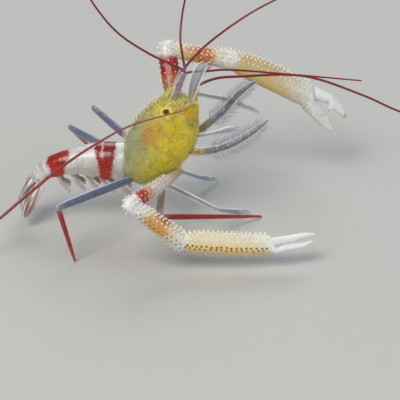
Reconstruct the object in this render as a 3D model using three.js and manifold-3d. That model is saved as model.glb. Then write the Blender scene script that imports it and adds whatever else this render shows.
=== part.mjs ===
// A boxer shrimp of the genus Stenopus, standing on its thin legs with both long claws held out.
// Millimetres, +Z up. The head points to +X, the animal's left side is +Y and its right side -Y.
import * as THREE from "three";
import { mergeVertices } from "three/addons/utils/BufferGeometryUtils.js";
import Module from "manifold-3d";

const wasm = await Module();
wasm.setup();

// Driving dimensions. Body points are [x, z] on the middle plane, limb points are [x, y, z].
const GAP = 0.14; // clearance between neighbouring pieces
const CARAPACE_WIDTH = 11.0;
const CARAPACE_WIDEST = 0.42; // share of its length, from the rear
const CARAPACE_TAPER = 1.5; // how fast the width falls away from the widest ring
const BACK = [[-4.9, 17.1], [-3.7, 20.0], [-1.5, 23.6], [1.5, 26.4], [4.3, 27.9]];
const BELLY = [[-4.5, 9.9], [0.7, 8.6], [6.1, 12.2], [9.6, 17.9], [9.8, 23.6]];
const ROSTRUM = { root: [3.4, 0, 27.4], tip: [6.0, 0, 30.4], thickness: 1.3 };
const EYE = { centre: [3.4, 3.5, 25.8], radius: 0.55, stalk: [0.2, -1.3, -0.2] };
const ABDOMEN_LINE = [[-5.1, 13.5], [-10, 13.8], [-14, 13.6], [-17.5, 12.9], [-20.4, 11.6], [-22.8, 9.4]];
const ABDOMEN_HALF = [3.75, 3.5, 2.6, 2.1, 1.7]; // half its height, from front to rear
const SOMITE_LENGTHS = [2.3, 3.2, 3.6, 3.0, 3.9, 4.4];
const FEELER_THICKNESS = 0.5;
const FLEX = 0.5; // the thinnest that a blade or a twig of a limb is made

const SLANT = [0, 0.469, 0.883]; // most flat limbs are wide this way, upward and a little to the left
const UPRIGHT = new THREE.Vector3(0, 0, 1);
const SIDES = [[1, "left"], [-1, "right"]];

const colours = {
  carapace: 0xd2c63c,
  white: 0xe6e2da,
  red: 0xa92a20,
  fan: 0xbdb4aa,
  claw: 0xe6d6ae,
  thigh: 0x8493b0,
  shin: 0x9a2a26,
  clear: 0xc9d4d8,
  mouth: 0x8d8690,
  feeler: 0x7a1c24,
  eye: 0x0b0c10,
};

const at = (point) => new THREE.Vector3(...point);
const FACING = at(SLANT);
const mirrored = ([x, y, z], side) => new THREE.Vector3(x, y * side, z);
const inPlane = ([x, z]) => new THREE.Vector3(x, 0, z);
const line = (from, to) => new THREE.LineCurve3(from, to);

function solid(geometry) {
  geometry.deleteAttribute("normal");
  geometry.deleteAttribute("uv");
  const merged = mergeVertices(geometry);
  const mesh = new wasm.Mesh({
    numProp: 3,
    vertProperties: new Float32Array(merged.attributes.position.array),
    triVerts: new Uint32Array(merged.index.array),
  });
  return new wasm.Manifold(mesh);
}

// A closed body of elliptical rings. ring(t) gives the centre and the two half axes at t from 0 to 1.
function loft(sides, steps, ring) {
  const geometry = new THREE.CylinderGeometry(1, 1, 1, sides, steps);
  const position = geometry.attributes.position;
  const along = ring(1).centre.clone().sub(ring(0).centre);
  for (let i = 0; i < position.count; i++) {
    const t = position.getY(i) + 0.5;
    const { centre, across, upward } = ring(t);
    const turn = across.clone().cross(along).dot(upward) > 0 ? 1 : -1;
    const point = centre.clone();
    point.addScaledVector(across, position.getX(i) * turn);
    point.addScaledVector(upward, position.getZ(i));
    position.setXYZ(i, point.x, point.y, point.z);
  }
  return solid(geometry);
}

// A value read from evenly spaced stops, blended in a straight line between them.
function blend(stops, t) {
  const place = THREE.MathUtils.clamp(t, 0, 1) * (stops.length - 1);
  const index = Math.min(Math.floor(place), stops.length - 2);
  return THREE.MathUtils.lerp(stops[index], stops[index + 1], place - index);
}

// A tapering rod along a curve. widths lie along `wideways`, depths across it, both full sizes.
function rod(curve, widths, depths, wideways, sides, steps) {
  return loft(sides, steps, (t) => {
    const along = curve.getTangentAt(t);
    const across = along.clone().cross(wideways).normalize();
    const upward = across.clone().cross(along).normalize();
    return {
      centre: curve.getPointAt(t),
      across: across.multiplyScalar(blend(depths, t) / 2),
      upward: upward.multiplyScalar(blend(widths, t) / 2),
    };
  });
}

// A thin straight blade, as wide as widths say.
function blade(from, to, widths, flat) {
  return rod(line(from, to), widths, [FLEX, FLEX], flat, 6, 4);
}

// A straight line made longer at both ends, for a body that is grown to cut its neighbour.
function stretched(from, to, extra) {
  const along = to.clone().sub(from).setLength(extra);
  return line(from.clone().sub(along), to.clone().add(along));
}

// One spine: a thin cone whose root is sunk into the shell it grows on.
function spine(root, direction, length, thickness = 0.44) {
  const sunk = 0.35;
  const cone = new THREE.ConeGeometry(thickness / 2, length * (1 + sunk), 3);
  cone.translate(0, (length * (1 - sunk)) / 2, 0);
  cone.applyQuaternion(new THREE.Quaternion().setFromUnitVectors(new THREE.Vector3(0, 1, 0), direction));
  cone.translate(root.x, root.y, root.z);
  return solid(cone);
}

// A row of spines that lean forward, standing `width / 2` off a curve on the side that `side` points to.
function spineRow(body, curve, { side, from, to, count, length, widths = [0, 0] }) {
  let joined = body;
  for (let i = 0; i < count; i++) {
    const t = THREE.MathUtils.lerp(from, to, i / (count - 1));
    const along = curve.getTangentAt(t);
    const out = side.clone().addScaledVector(along, -side.dot(along)).normalize();
    const root = curve.getPointAt(t).addScaledVector(out, blend(widths, t) / 2);
    joined = joined.add(spine(root, out.addScaledVector(along, 0.35).normalize(), length));
  }
  return joined;
}

const shrimp = new THREE.Group();

function addNode(name, body, colour, roughness = 0.45) {
  const mesh = body.getMesh();
  const geometry = new THREE.BufferGeometry();
  geometry.setAttribute("position", new THREE.BufferAttribute(new Float32Array(mesh.vertProperties), 3));
  geometry.setIndex(new THREE.BufferAttribute(new Uint32Array(mesh.triVerts), 1));
  const material = new THREE.MeshStandardMaterial({ color: colour, roughness, metalness: 0 });
  const node = new THREE.Mesh(geometry, material);
  node.name = name;
  shrimp.add(node);
}

// ---- Carapace: rings that fan round from the upright rear edge to the sloping face.
const backLine = new THREE.CatmullRomCurve3(BACK.map(inPlane));
const bellyLine = new THREE.CatmullRomCurve3(BELLY.map(inPlane));

function carapaceRing(t, grow) {
  const top = backLine.getPoint(t);
  const bottom = bellyLine.getPoint(t);
  const halfWidth = (CARAPACE_WIDTH / 2) * (1 - CARAPACE_TAPER * (t - CARAPACE_WIDEST) ** 2);
  const upward = top.clone().sub(bottom).multiplyScalar(0.5);
  const centre = bottom.clone().add(upward);
  upward.setLength(upward.length() + grow);
  return { centre, upward, across: new THREE.Vector3(0, halfWidth + grow, 0) };
}

function carapaceBody(grow) {
  return loft(16, 9, (t) => {
    const ring = carapaceRing(t, grow);
    if (t < 0.01) ring.centre.x -= grow;
    if (t > 0.99) ring.centre.x += grow;
    return ring;
  });
}

const carapaceCutter = carapaceBody(GAP);

function eyeBody(side, grow) {
  const centre = mirrored(EYE.centre, side);
  const ball = new THREE.IcosahedronGeometry(EYE.radius + grow * 1.3, 1);
  ball.translate(centre.x, centre.y, centre.z);
  const root = centre.clone().add(mirrored(EYE.stalk, side));
  const widths = [EYE.radius * 1.3 + grow * 2, EYE.radius * 1.6 + grow * 2];
  return solid(ball).add(rod(stretched(root, centre, grow), widths, widths, UPRIGHT, 8, 2));
}

// Spines in lengthwise rows: one along the crest, and two down each flank.
const CARAPACE_ROWS = [[0, 11], [0.42, 9], [-0.42, 9], [0.95, 5], [-0.95, 5]]; // turn from the crest, count
const ROWS_FROM = 0.07;
const ROWS_SPAN = 0.86;

function carapace() {
  let body = carapaceBody(0);
  for (const [spread, count] of CARAPACE_ROWS) {
    for (let i = 0; i < count; i++) {
      const t = ROWS_FROM + (ROWS_SPAN * (i + (spread ? 0.5 : 0))) / count;
      const { centre, upward, across } = carapaceRing(t, 0);
      const out = upward.clone().multiplyScalar(Math.cos(spread)).addScaledVector(across, Math.sin(spread));
      const root = centre.clone().add(out);
      const lean = out.normalize().addScaledVector(backLine.getTangent(t), 0.8).normalize();
      body = body.add(spine(root, lean, 0.8));
    }
  }
  const widths = [ROSTRUM.thickness, ROSTRUM.thickness * 0.7, 0.2];
  body = body.add(rod(line(at(ROSTRUM.root), at(ROSTRUM.tip)), widths, widths, UPRIGHT, 6, 2));
  for (const [side] of SIDES) {
    body = body.subtract(eyeBody(side, GAP));
  }
  return body;
}

addNode("carapace", carapace(), colours.carapace);
for (const [side, name] of SIDES) {
  addNode(`eye_${name}`, eyeBody(side, 0), colours.eye, 0.1);
}

// ---- Abdomen: six rings of shell along one bent line, each a little apart from the next.
const abdomenLine = new THREE.CatmullRomCurve3(ABDOMEN_LINE.map(inPlane));
const abdomenLength = abdomenLine.getLength();
const RED_SOMITES = [1, 4];

let somiteStart = 0;
SOMITE_LENGTHS.forEach((length, index) => {
  const start = somiteStart / abdomenLength;
  const end = Math.min((somiteStart + length - GAP) / abdomenLength, 1);
  somiteStart += length;
  const body = loft(12, 3, (t) => {
    const place = THREE.MathUtils.lerp(start, end, t);
    const along = abdomenLine.getTangentAt(place);
    const crowned = 0.95 + 0.05 * Math.sin(Math.PI * t);
    const half = blend(ABDOMEN_HALF, place) * crowned;
    return {
      centre: abdomenLine.getPointAt(place),
      across: new THREE.Vector3(0, half * 0.95, 0),
      upward: new THREE.Vector3(along.z, 0, -along.x).multiplyScalar(half),
    };
  });
  const colour = RED_SOMITES.includes(index) ? colours.red : colours.white;
  addNode(`abdomen_${index + 1}`, body.subtract(carapaceCutter), colour);
});

// ---- Tail fan: the telson between two pairs of uropods, blades that hang folded from the last ring.
// flat is the way that a blade is wide.
const FAN = {
  telson: { root: [-23.15, 0, 9], tip: [-26.4, 0, 4.7], widths: [1.7, 1.9, 1.6, 0.6], flat: [0, 1, 0] },
  inner: { root: [-22.3, 0.95, 8.5], tip: [-25.5, 1.7, 3.2], widths: [1, 1.9, 2.2, 2, 1], flat: [1, 0.3, 0] },
  outer: { root: [-22, 1.8, 8.4], tip: [-25, 3.5, 2.6], widths: [1, 2.1, 2.5, 2.2, 1], flat: [1, 0.3, 0.2] },
};

function fanBlade(name, { root, tip, widths, flat }, side) {
  addNode(name, blade(mirrored(root, side), mirrored(tip, side), widths, mirrored(flat, side)), colours.fan);
}

fanBlade("telson", FAN.telson, 1);
for (const [side, name] of SIDES) {
  fanBlade(`uropod_inner_${name}`, FAN.inner, side);
  fanBlade(`uropod_outer_${name}`, FAN.outer, side);
}

// ---- Swimmerets: pairs of narrow blades under the abdomen, slanting forward, each a little shorter.
const SWIMMERET = { pairs: 5, first: 0.1, step: 0.155, shorter: 0.15, widths: [0.6, 0.95, FLEX] };
const SWIMMERET_ROOT = [0.2, 0.42, -0.9]; // its y and z are shares of the abdomen's half height
const SWIMMERET_REACH = [3.1, 0.4, -3.6];

for (let pair = 0; pair < SWIMMERET.pairs; pair++) {
  const place = SWIMMERET.first + pair * SWIMMERET.step;
  const half = blend(ABDOMEN_HALF, place);
  const [rootX, rootY, rootZ] = SWIMMERET_ROOT;
  const [reachX, reachY, reachZ] = SWIMMERET_REACH;
  const cut = pair * SWIMMERET.shorter;
  for (const [side, name] of SIDES) {
    const root = abdomenLine.getPointAt(place);
    root.add(new THREE.Vector3(rootX, side * half * rootY, half * rootZ - GAP - FLEX / 2));
    const tip = root.clone().add(new THREE.Vector3(reachX - cut, side * reachY, reachZ + cut));
    const body = rod(line(root, tip), SWIMMERET.widths, [FLEX, FLEX], new THREE.Vector3(0, 1, 0), 6, 2);
    addNode(`swimmeret_${name}_${pair + 1}`, body, colours.clear);
  }
}

// ---- Feelers' stalks, the scales beside them, and the long whips.
const ANTENNULE = { root: [5.4, 1.25, 28.6], tip: [7.0, 1.2, 33.0], widths: [1.5, 1.3, 1.0] };
const ANTENNA = { root: [8.6, 2.9, 25.4], tip: [9.3, 3.6, 27.6], widths: [2.2, 2.0, 1.4, 0.9] };
const SCALE = { root: [8.3, 2.1, 28.3], widths: [1.0, 2.3, 2.2, 1.0], flat: [1, 0.4, 0] };
const SCALE_TIPS = { left: [12.4, 2.4, 33.8], right: [11.0, -2.0, 35.8] };

function stalk({ root, tip, widths }, side) {
  const depths = widths.map((width) => width * 0.93);
  const body = rod(line(mirrored(root, side), mirrored(tip, side)), widths, depths, UPRIGHT, 8, 3);
  return body.subtract(carapaceCutter);
}

for (const [side, name] of SIDES) {
  addNode(`antennule_${name}`, stalk(ANTENNULE, side), colours.clear);
  addNode(`antenna_${name}`, stalk(ANTENNA, side), colours.carapace);
  const scaleTip = at(SCALE_TIPS[name]);
  const scale = blade(mirrored(SCALE.root, side), scaleTip, SCALE.widths, mirrored(SCALE.flat, side));
  addNode(`antenna_scale_${name}`, scale, colours.clear);
}

// Each whip's route runs from its stalk to its tip.
const WHIPS = {
  antennule_whip_right_outer: [
    [7.0, -1.3, 33.4], [0.0, -2.2, 37.7], [-6.0, -3.2, 42.7], [-11.3, -4.5, 51.0], [-14.0, -5.5, 58.0],
  ],
  antennule_whip_right_inner: [
    [7.7, -0.9, 33.0], [11.5, -0.6, 33.2], [15.0, 0, 33.2], [26.8, 0.6, 32.0], [41.5, 1.0, 30.4],
  ],
  antennule_whip_left_outer: [
    [6.9, 1.6, 33.5], [6.2, 4.0, 37.8], [6.5, 7.0, 41.4], [7.3, 10.5, 44.5], [9.5, 16.0, 51.5],
  ],
  antennule_whip_left_inner: [
    [7.3, 1.0, 33.5], [11.1, 2.0, 37.4], [19.2, 3.0, 43.4], [26.0, 4.0, 46.9], [34.0, 5.5, 50.2],
  ],
  antenna_whip_left: [
    [9.5, 3.9, 27.9], [13.0, 4.4, 29.3], [18.0, 4.8, 29.6], [30.4, 6.5, 28.9],
    [42.2, 8.5, 23.9], [50.3, 10.5, 19.2], [62.0, 14.5, 13.5],
  ],
  antenna_whip_right: [
    [9.0, -4.3, 27.8], [6.8, -5.6, 27.2], [-3.3, -7.4, 24.8], [-10.2, -8.8, 21.4], [-17.0, -10.2, 17.0],
    [-24.2, -12.6, 11.6], [-30.5, -15.6, 7.4], [-40.0, -20.5, 5.2], [-48.0, -23.5, 6.6],
  ],
};

const WHIP_SIDE = new THREE.Vector3(0.1, 0.9, 0.4); // no whip ever runs this way
const whipWidths = [FEELER_THICKNESS * 1.3, FEELER_THICKNESS, FEELER_THICKNESS];
for (const [name, route] of Object.entries(WHIPS)) {
  const curve = new THREE.CatmullRomCurve3(route.map(at), false, "centripetal");
  addNode(name, rod(curve, whipWidths, whipWidths, WHIP_SIDE, 5, 13), colours.feeler);
}

// ---- Third maxillipeds: the hairy mouth limbs, folded forward under the head.
const MAXILLIPEDS = {
  right: [[8.0, -2.3, 17.2], [15.4, -4.4, 18.9], [23.2, -3.4, 24.0]],
  left: [[9.4, 2.3, 18.6], [15.1, 4.2, 22.8], [18.2, 4.6, 26.4], [21.2, 5.2, 28.5]],
};

for (const [name, route] of Object.entries(MAXILLIPEDS)) {
  const curve = new THREE.CatmullRomCurve3(route.map(at), false, "centripetal");
  const body = rod(curve, [1.4, 1.6, 1.5, 1.4, 0.7], [1.0, 1.0, 1.0, 0.9, FLEX], FACING, 8, 8);
  addNode(`maxilliped_${name}`, body.subtract(carapaceCutter), colours.mouth);
}

// ---- First and second legs: thin, glassy, with small pincers.
const THIN_LEGS = {
  right_1: [[8.0, -1.2, 19.2], [13.2, -2.0, 20.6], [15.6, -0.6, 20.6], [18.2, 0.6, 20.2]],
  left_1: [[5.6, 2.2, 12.6], [6.2, 8.6, 6.6], [9.8, 12.2, 3.4], [13.9, 16.9, -0.15]],
  right_2: [[2.2, -2.2, 10.0], [13.5, -5.0, 5.15], [16.2, -1.9, 3.1], [20.2, 2.6, -0.25]],
  left_2: [[7.6, 2.4, 16.2], [9.0, 9.0, 24.0], [16.2, 10.0, 22.0], [22.1, 11.0, 18.5]],
};
const THIN_WIDTHS = [0.85, 0.85, 0.85, 0.85, 0.7, 0.7, 0.77, 0.7, 1.15, 1.15, 0.8, 0.45];
const THIN_DEPTH = 0.7;

// A route of straight stretches whose corners are cut off, so that rings never cross at a bend.
function chamfered(points, cut) {
  const route = [points[0]];
  for (let i = 1; i < points.length - 1; i++) {
    for (const neighbour of [points[i - 1], points[i + 1]]) {
      route.push(points[i].clone().lerp(neighbour, cut / points[i].distanceTo(neighbour)));
    }
  }
  route.push(points.at(-1));
  return new THREE.CatmullRomCurve3(route, false, "catmullrom", 0);
}

const standing = (body) => body.trimByPlane([0, 0, 1], 0);

for (const [name, joints] of Object.entries(THIN_LEGS)) {
  const depths = THIN_WIDTHS.map((width) => Math.min(width * 0.85, THIN_DEPTH));
  const body = rod(chamfered(joints.map(at), 0.6), THIN_WIDTHS, depths, FACING, 6, 12);
  addNode(`leg_${name}`, standing(body.subtract(carapaceCutter)), colours.clear);
}

// ---- Jointed limbs. A segment is a rod with a rounded far end, and the next one is cut to sit on it.
function segment(from, to, widths, depths, wideways, grow, sides = 8) {
  const fat = (sizes) => sizes.map((size) => size + grow * 2);
  const body = rod(stretched(from, to, grow), fat(widths), fat(depths), wideways, sides, 3);
  const along = to.clone().sub(from).normalize();
  const across = along.clone().cross(wideways).normalize();
  const upward = across.clone().cross(along);
  const width = widths.at(-1) * 0.98 + grow * 2.6;
  const depth = depths.at(-1) * 0.98 + grow * 2.6;
  const knob = new THREE.IcosahedronGeometry(0.5, sides > 6 ? 1 : 0);
  knob.scale(depth, Math.max(width, depth), width);
  knob.applyMatrix4(new THREE.Matrix4().makeBasis(across, along, upward));
  knob.translate(to.x, to.y, to.z);
  return body.add(solid(knob));
}

// ---- Third legs: the long arms with their claws, in four pieces each.
// Claw stations run from the root on: [along, up] of the top edge, the same of the bottom edge, and
// the depth. A palm's along is a share of its length, and a finger's is millimetres past the knuckle.
const ARM_FLATNESS = 0.8;
const PALM_END = -0.6; // where the palm ends and the hinged finger starts, past the knuckle
const ARMS = {
  right: {
    hip: [6.4, -2.6, 12.6], elbow: [-3.15, -22, 15.3], wrist: [6.2, -20, 6.5], knuckle: [24, -19, 5],
    broad: SLANT, merus: [1.6, 2.3, 2.6, 2.9], carpus: [2.4, 3.3, 3.6, 3.9],
    palm: [
      [0, 1.4, 0, -1.4, 2.9], [0.14, 1.9, 0.14, -2.0, 3.4], [0.4, 1.98, 0.4, -2.15, 3.6],
      [0.75, 1.95, 0.75, -2.1, 3.5], [1, 1.7, 1, -1.65, 3.0],
    ],
    dactyl: [
      [-0.45, 1.4, -0.45, -0.3, 2.3], [1.2, 1.75, 1.2, 0.1, 2.3], [3.1, 2.1, 3.1, 0.58, 2.1],
      [4.6, 2.44, 4.4, 0.92, 1.8], [6.3, 2.72, 6.1, 1.6, 1.3], [8.15, 2.62, 8.1, 2.2, 0.5],
    ],
    fixed: [
      [-2.2, -0.4, -2.2, -1.8, 2.7], [0.6, -0.4, 0.3, -1.65, 2.6], [1.6, 0.04, 2.0, -1.25, 2.3],
      [3.1, 0.42, 3.4, -0.95, 2.0], [4.3, 0.6, 4.7, -0.65, 1.7], [5.9, 0.74, 6.3, 0.0, 1.2],
      [7.75, 1.25, 7.75, 0.85, 0.5],
    ],
  },
  left: {
    hip: [6.4, 2.6, 13.2], elbow: [3.3, 18, 29.6], wrist: [16.4, 17, 27.7], knuckle: [33, 20, 18.5],
    broad: [-1, 0, 0], merus: [1.9, 2.7, 3.2, 3.8], carpus: [2.9, 3.1, 3.2, 3.8],
    palm: [
      [0, 1.7, 0, -1.7, 3.0], [0.14, 2.4, 0.14, -2.3, 3.5], [0.4, 2.68, 0.4, -2.52, 3.8],
      [0.75, 2.5, 0.75, -2.8, 3.8], [1, 2.1, 1, -3.1, 3.3],
    ],
    dactyl: [
      [-0.45, 1.95, -0.45, -0.6, 2.5], [1.0, 1.95, 0.9, -0.75, 2.7], [2.9, 1.86, 2.7, -0.55, 2.5],
      [4.3, 1.68, 3.9, -0.35, 2.3], [5.3, 1.42, 4.55, -1.6, 2.0], [6.6, 0.85, 5.9, -1.2, 1.6],
      [8.0, -0.1, 7.4, -1.45, 1.1], [8.95, -1.25, 8.7, -1.7, 0.5],
    ],
    fixed: [
      [-2.6, -0.6, -3.6, -2.9, 3.0], [0.9, -0.95, -0.8, -3.36, 3.0], [2.4, -1.25, 0.9, -4.0, 2.7],
      [3.65, -1.7, 2.0, -4.4, 2.4], [3.2, -2.75, 2.9, -4.75, 2.2], [4.95, -2.6, 4.0, -5.1, 1.9],
      [5.7, -3.5, 5.2, -5.4, 1.4], [7.45, -4.9, 7.3, -5.3, 0.5],
    ],
  },
};

// A flat body between a top and a bottom edge, whose stations `place` puts into the animal.
function plate(stations, place, across, sides, steps) {
  const edge = (points) => new THREE.CatmullRomCurve3(points, false, "centripetal");
  const top = edge(stations.map(([along, up]) => place(along, up)));
  const low = edge(stations.map(([, , along, up]) => place(along, up)));
  const depths = stations.map((station) => station[4]);
  const body = loft(sides, steps, (t) => {
    const high = top.getPoint(t);
    const centre = high.clone().lerp(low.getPoint(t), 0.5);
    return { centre, upward: high.sub(centre), across: across.clone().multiplyScalar(blend(depths, t) / 2) };
  });
  return { body, top, low };
}

function arm(name, { hip, elbow, wrist, knuckle, broad, merus, carpus, palm, dactyl, fixed }) {
  const [hipAt, elbowAt, wristAt, knuckleAt, wide] = [hip, elbow, wrist, knuckle, broad].map(at);
  const flat = (sizes) => sizes.map((size) => size * ARM_FLATNESS);
  const upperArm = (grow) => segment(hipAt, elbowAt, merus, flat(merus), wide, grow);
  const foreArm = (grow) => segment(elbowAt, wristAt, carpus, flat(carpus), FACING, grow);

  const reach = knuckleAt.clone().sub(wristAt);
  const along = reach.clone().normalize();
  const across = along.clone().cross(FACING).normalize();
  const up = across.clone().cross(along).normalize();
  const down = up.clone().negate();
  const palmReach = reach.length() + PALM_END;
  const off = (from, past, rise) => from.clone().addScaledVector(along, past).addScaledVector(up, rise);
  const onPalm = (share, rise) => off(wristAt, share * palmReach, rise);
  const onFinger = (past, rise) => off(knuckleAt, past, rise);
  const finger = (stations, grow) => {
    const ends = [-grow, ...Array(stations.length - 2).fill(0), grow];
    const grown = stations.map(([topAlong, topUp, lowAlong, lowUp, depth], i) => [
      topAlong + ends[i], topUp + grow, lowAlong + ends[i], lowUp - grow, depth + grow * 2,
    ]);
    return plate(grown, onFinger, across, 8, stations.length + 4).body;
  };

  let merusSolid = upperArm(0);
  for (const edge of [wide, wide.clone().negate()]) {
    const row = { side: edge, from: 0.35, to: 0.86, count: 6, length: 0.55, widths: merus };
    merusSolid = spineRow(merusSolid, line(hipAt, elbowAt), row);
  }
  let carpusSolid = foreArm(0);
  const carpusLine = line(elbowAt, wristAt);
  const upperRow = { side: up, from: 0.2, to: 0.97, count: 9, length: 0.62, widths: carpus };
  carpusSolid = spineRow(carpusSolid, carpusLine, upperRow);
  carpusSolid = spineRow(carpusSolid, carpusLine, { ...upperRow, side: down, count: 6, length: 0.5 });
  const { body: palmBody, top, low } = plate(palm, onPalm, across, 10, 6);
  let palmSolid = palmBody.add(finger(fixed, 0));
  palmSolid = spineRow(palmSolid, top, { side: up, from: 0.08, to: 0.95, count: 13, length: 0.62 });
  palmSolid = spineRow(palmSolid, low, { side: down, from: 0.1, to: 0.92, count: 8, length: 0.42 });

  addNode(`arm_${name}_merus`, merusSolid.subtract(carapaceCutter), colours.claw);
  addNode(`arm_${name}_carpus`, carpusSolid.subtract(upperArm(GAP)), colours.claw);
  addNode(`arm_${name}_palm`, palmSolid.subtract(foreArm(GAP)).subtract(finger(dactyl, GAP)), colours.claw);
  addNode(`arm_${name}_finger`, finger(dactyl, 0), colours.white);
}

for (const [name, joints] of Object.entries(ARMS)) {
  arm(name, joints);
}

// ---- Fourth and fifth legs: flat glassy upper halves, thin red lower halves that stand on their toes.
const THIGH = { widths: [1.2, 1.75, 1.66, 1.2], depth: 0.95 };
const SHIN = { widths: [1.1, 1.0, 0.8, 0.5], depths: [1.0, 0.9, 0.75, 0.5] };
const WALKING_LEGS = {
  right_4: { hip: [2.6, -2.6, 10.6], knee: [2.3, -16.0, 9.5], toe: [22.5, 1.3, -0.1], broad: [1, 0, 0] },
  left_4: { hip: [2.6, 2.6, 10.6], knee: [-11.6, 15.0, 18.0], toe: [-0.7, 27.9, -0.2], broad: SLANT },
  right_5: { hip: [-2.4, -2.4, 11.2], knee: [-17.0, -18.0, 12.6], toe: [-14.2, -16.9, -0.2], broad: SLANT },
  left_5: { hip: [-2.4, 2.4, 11.2], knee: [-16.5, 15.0, 13.6], toe: [-13.2, 31.7, -0.1], broad: SLANT },
};

for (const [name, leg] of Object.entries(WALKING_LEGS)) {
  const [hip, knee, toe, wide] = [leg.hip, leg.knee, leg.toe, leg.broad].map(at);
  const depths = THIGH.widths.map(() => THIGH.depth);
  const upper = (grow) => segment(hip, knee, THIGH.widths, depths, wide, grow, 6);
  const lower = rod(line(knee, toe), SHIN.widths, SHIN.depths, FACING, 6, 4);
  addNode(`leg_${name}_upper`, upper(0).subtract(carapaceCutter), colours.thigh);
  addNode(`leg_${name}_lower`, standing(lower.subtract(upper(GAP))), colours.shin);
}

// The origin is under the middle of the whole animal, on the floor.
const box = new THREE.Box3().setFromObject(shrimp);
shrimp.position.set(-(box.min.x + box.max.x) / 2, -(box.min.y + box.max.y) / 2, -box.min.z);
shrimp.updateMatrixWorld(true);

export default shrimp;
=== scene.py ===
# A banded boxer shrimp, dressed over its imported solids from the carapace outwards.
# The animal is laid out in millimetres as in its solids: head to +X, its left side to +Y, the floor at z = 0.
import math

import bmesh
import bpy
import numpy as np
from mathutils import Matrix, Vector, noise
from mathutils.geometry import interpolate_bezier


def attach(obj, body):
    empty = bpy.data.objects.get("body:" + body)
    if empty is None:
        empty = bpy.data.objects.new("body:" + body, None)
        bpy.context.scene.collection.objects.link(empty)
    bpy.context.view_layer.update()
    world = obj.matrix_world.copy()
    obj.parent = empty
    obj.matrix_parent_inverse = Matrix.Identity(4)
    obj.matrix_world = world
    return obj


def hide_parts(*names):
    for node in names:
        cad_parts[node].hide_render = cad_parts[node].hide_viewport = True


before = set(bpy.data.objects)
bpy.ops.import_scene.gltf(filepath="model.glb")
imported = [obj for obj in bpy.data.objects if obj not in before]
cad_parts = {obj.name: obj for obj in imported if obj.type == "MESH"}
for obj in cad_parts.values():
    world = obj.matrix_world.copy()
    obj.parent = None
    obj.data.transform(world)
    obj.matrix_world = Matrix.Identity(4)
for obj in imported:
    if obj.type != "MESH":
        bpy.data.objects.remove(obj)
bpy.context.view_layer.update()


# ---- Carapace
# The one-piece shield over head and thorax: a thin chitin shell, yellow from the organs and fat that
# show through it. It grows in one with the beak between the eyes, and its rear rim laps over the abdomen.
BODY_ZERO = Vector((-7.0129, -4.0632, 0.0))  # the layout's zero, seen from under the animal's middle
TO_METRES = Matrix.Scale(0.001, 4) @ Matrix.Translation(BODY_ZERO)
SIDES = ((1, "left"), (-1, "right"))
SPAN_DOTS = 24  # how many dots draw a line from one knot to the next
SEAM = 0.002  # how close the edges of a rolled sheet must lie to be sewn together
STEP = 0.004  # the share of a piece's way over which its direction is read
CARAPACE_WIDTH = 11.0
CARAPACE_WIDEST = 0.42  # where along the shell it is widest, and how fast it narrows from there
CARAPACE_TAPER = 1.5
BACK = [(-4.9, 0, 17.1), (-3.7, 0, 20.0), (-1.5, 0, 23.6), (1.5, 0, 26.4), (4.3, 0, 27.9)]
BELLY = [(-4.5, 0, 9.9), (0.7, 0, 8.6), (6.1, 0, 12.2), (9.6, 0, 17.9), (9.8, 0, 23.6)]
REAR_CUP, FACE_DOME = 0.06, 0.1  # shares of the unwrap that close the two ends
REAR_TUCK = 1.0  # how far the closed rear end is pushed in
FACE_RISE = 1.1
FACE_AHEAD = np.array([0.616, 0, 0.788])
# Each of these says how high or deep it is, as a share of the shell's half width, and how far it spreads.
REAR_RIM = (0.03, 0.012)
NECK_GROOVE = (0.02, 0.03)
LEG_TROUGH = (0.07, 0.42)
EYES = {name: Vector((3.4, 3.5 * side, 25.8)) for side, name in SIDES}
ORBIT_REACH = 2.4
BEAK_ROOT, BEAK_TIP = Vector((3.0, 0, 26.9)), Vector((6.1, 0, 30.5))


def unit(vectors):
    return vectors / np.maximum(np.linalg.norm(vectors, axis=-1, keepdims=True), 1e-9)


def hump(off, reach):
    """A smooth rise to one where off is nought, which dies away past its reach."""
    return np.exp(-((off / reach) ** 2))


def read_along(dots, by_length=True):
    """The line through the dots, read at any shares of its way."""
    way = np.arange(len(dots), dtype=float)
    if by_length:
        way[1:] = np.cumsum(np.linalg.norm(np.diff(dots, axis=0), axis=1))
    way /= way[-1]
    return lambda share: np.stack([np.interp(share, way, axis) for axis in dots.T], axis=-1)


def smooth_line(knots, by_length=True):
    """A smooth line through the knots."""
    knots = [Vector(knot) for knot in knots]
    reach = [2 * knots[0] - knots[1], *knots, 2 * knots[-1] - knots[-2]]
    gaps = [math.sqrt((b - a).length) for a, b in zip(reach, reach[1:])]
    dots = []
    for i in range(len(knots) - 1):
        before, start, end, after = reach[i : i + 4]
        g0, g1, g2 = gaps[i : i + 3]
        pull = (end - start) / g1
        leaving = ((start - before) / g0 - (end - before) / (g0 + g1) + pull) * g1 / 3
        arriving = (pull - (after - start) / (g1 + g2) + (after - end) / g2) * g1 / 3
        dots += interpolate_bezier(start, start + leaving, end - arriving, end, SPAN_DOTS + 1)[:-1]
    return read_along(np.array([*dots, knots[-1]]), by_length)


def stops(values, share):
    """A size read smoothly between evenly spaced values."""
    values = np.array(values, dtype=float)
    edge = np.concatenate([[2 * values[0] - values[1]], values, [2 * values[-1] - values[-2]]])
    place = np.clip(share, 0, 1) * (len(values) - 1)
    index = np.minimum(place.astype(int), len(values) - 2)
    f = place - index
    a, b, c, d = (edge[index + i] for i in range(4))
    return b + 0.5 * f * (c - a + f * (2 * a - 5 * b + 4 * c - d + f * (3 * (b - c) + d - a)))


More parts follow.
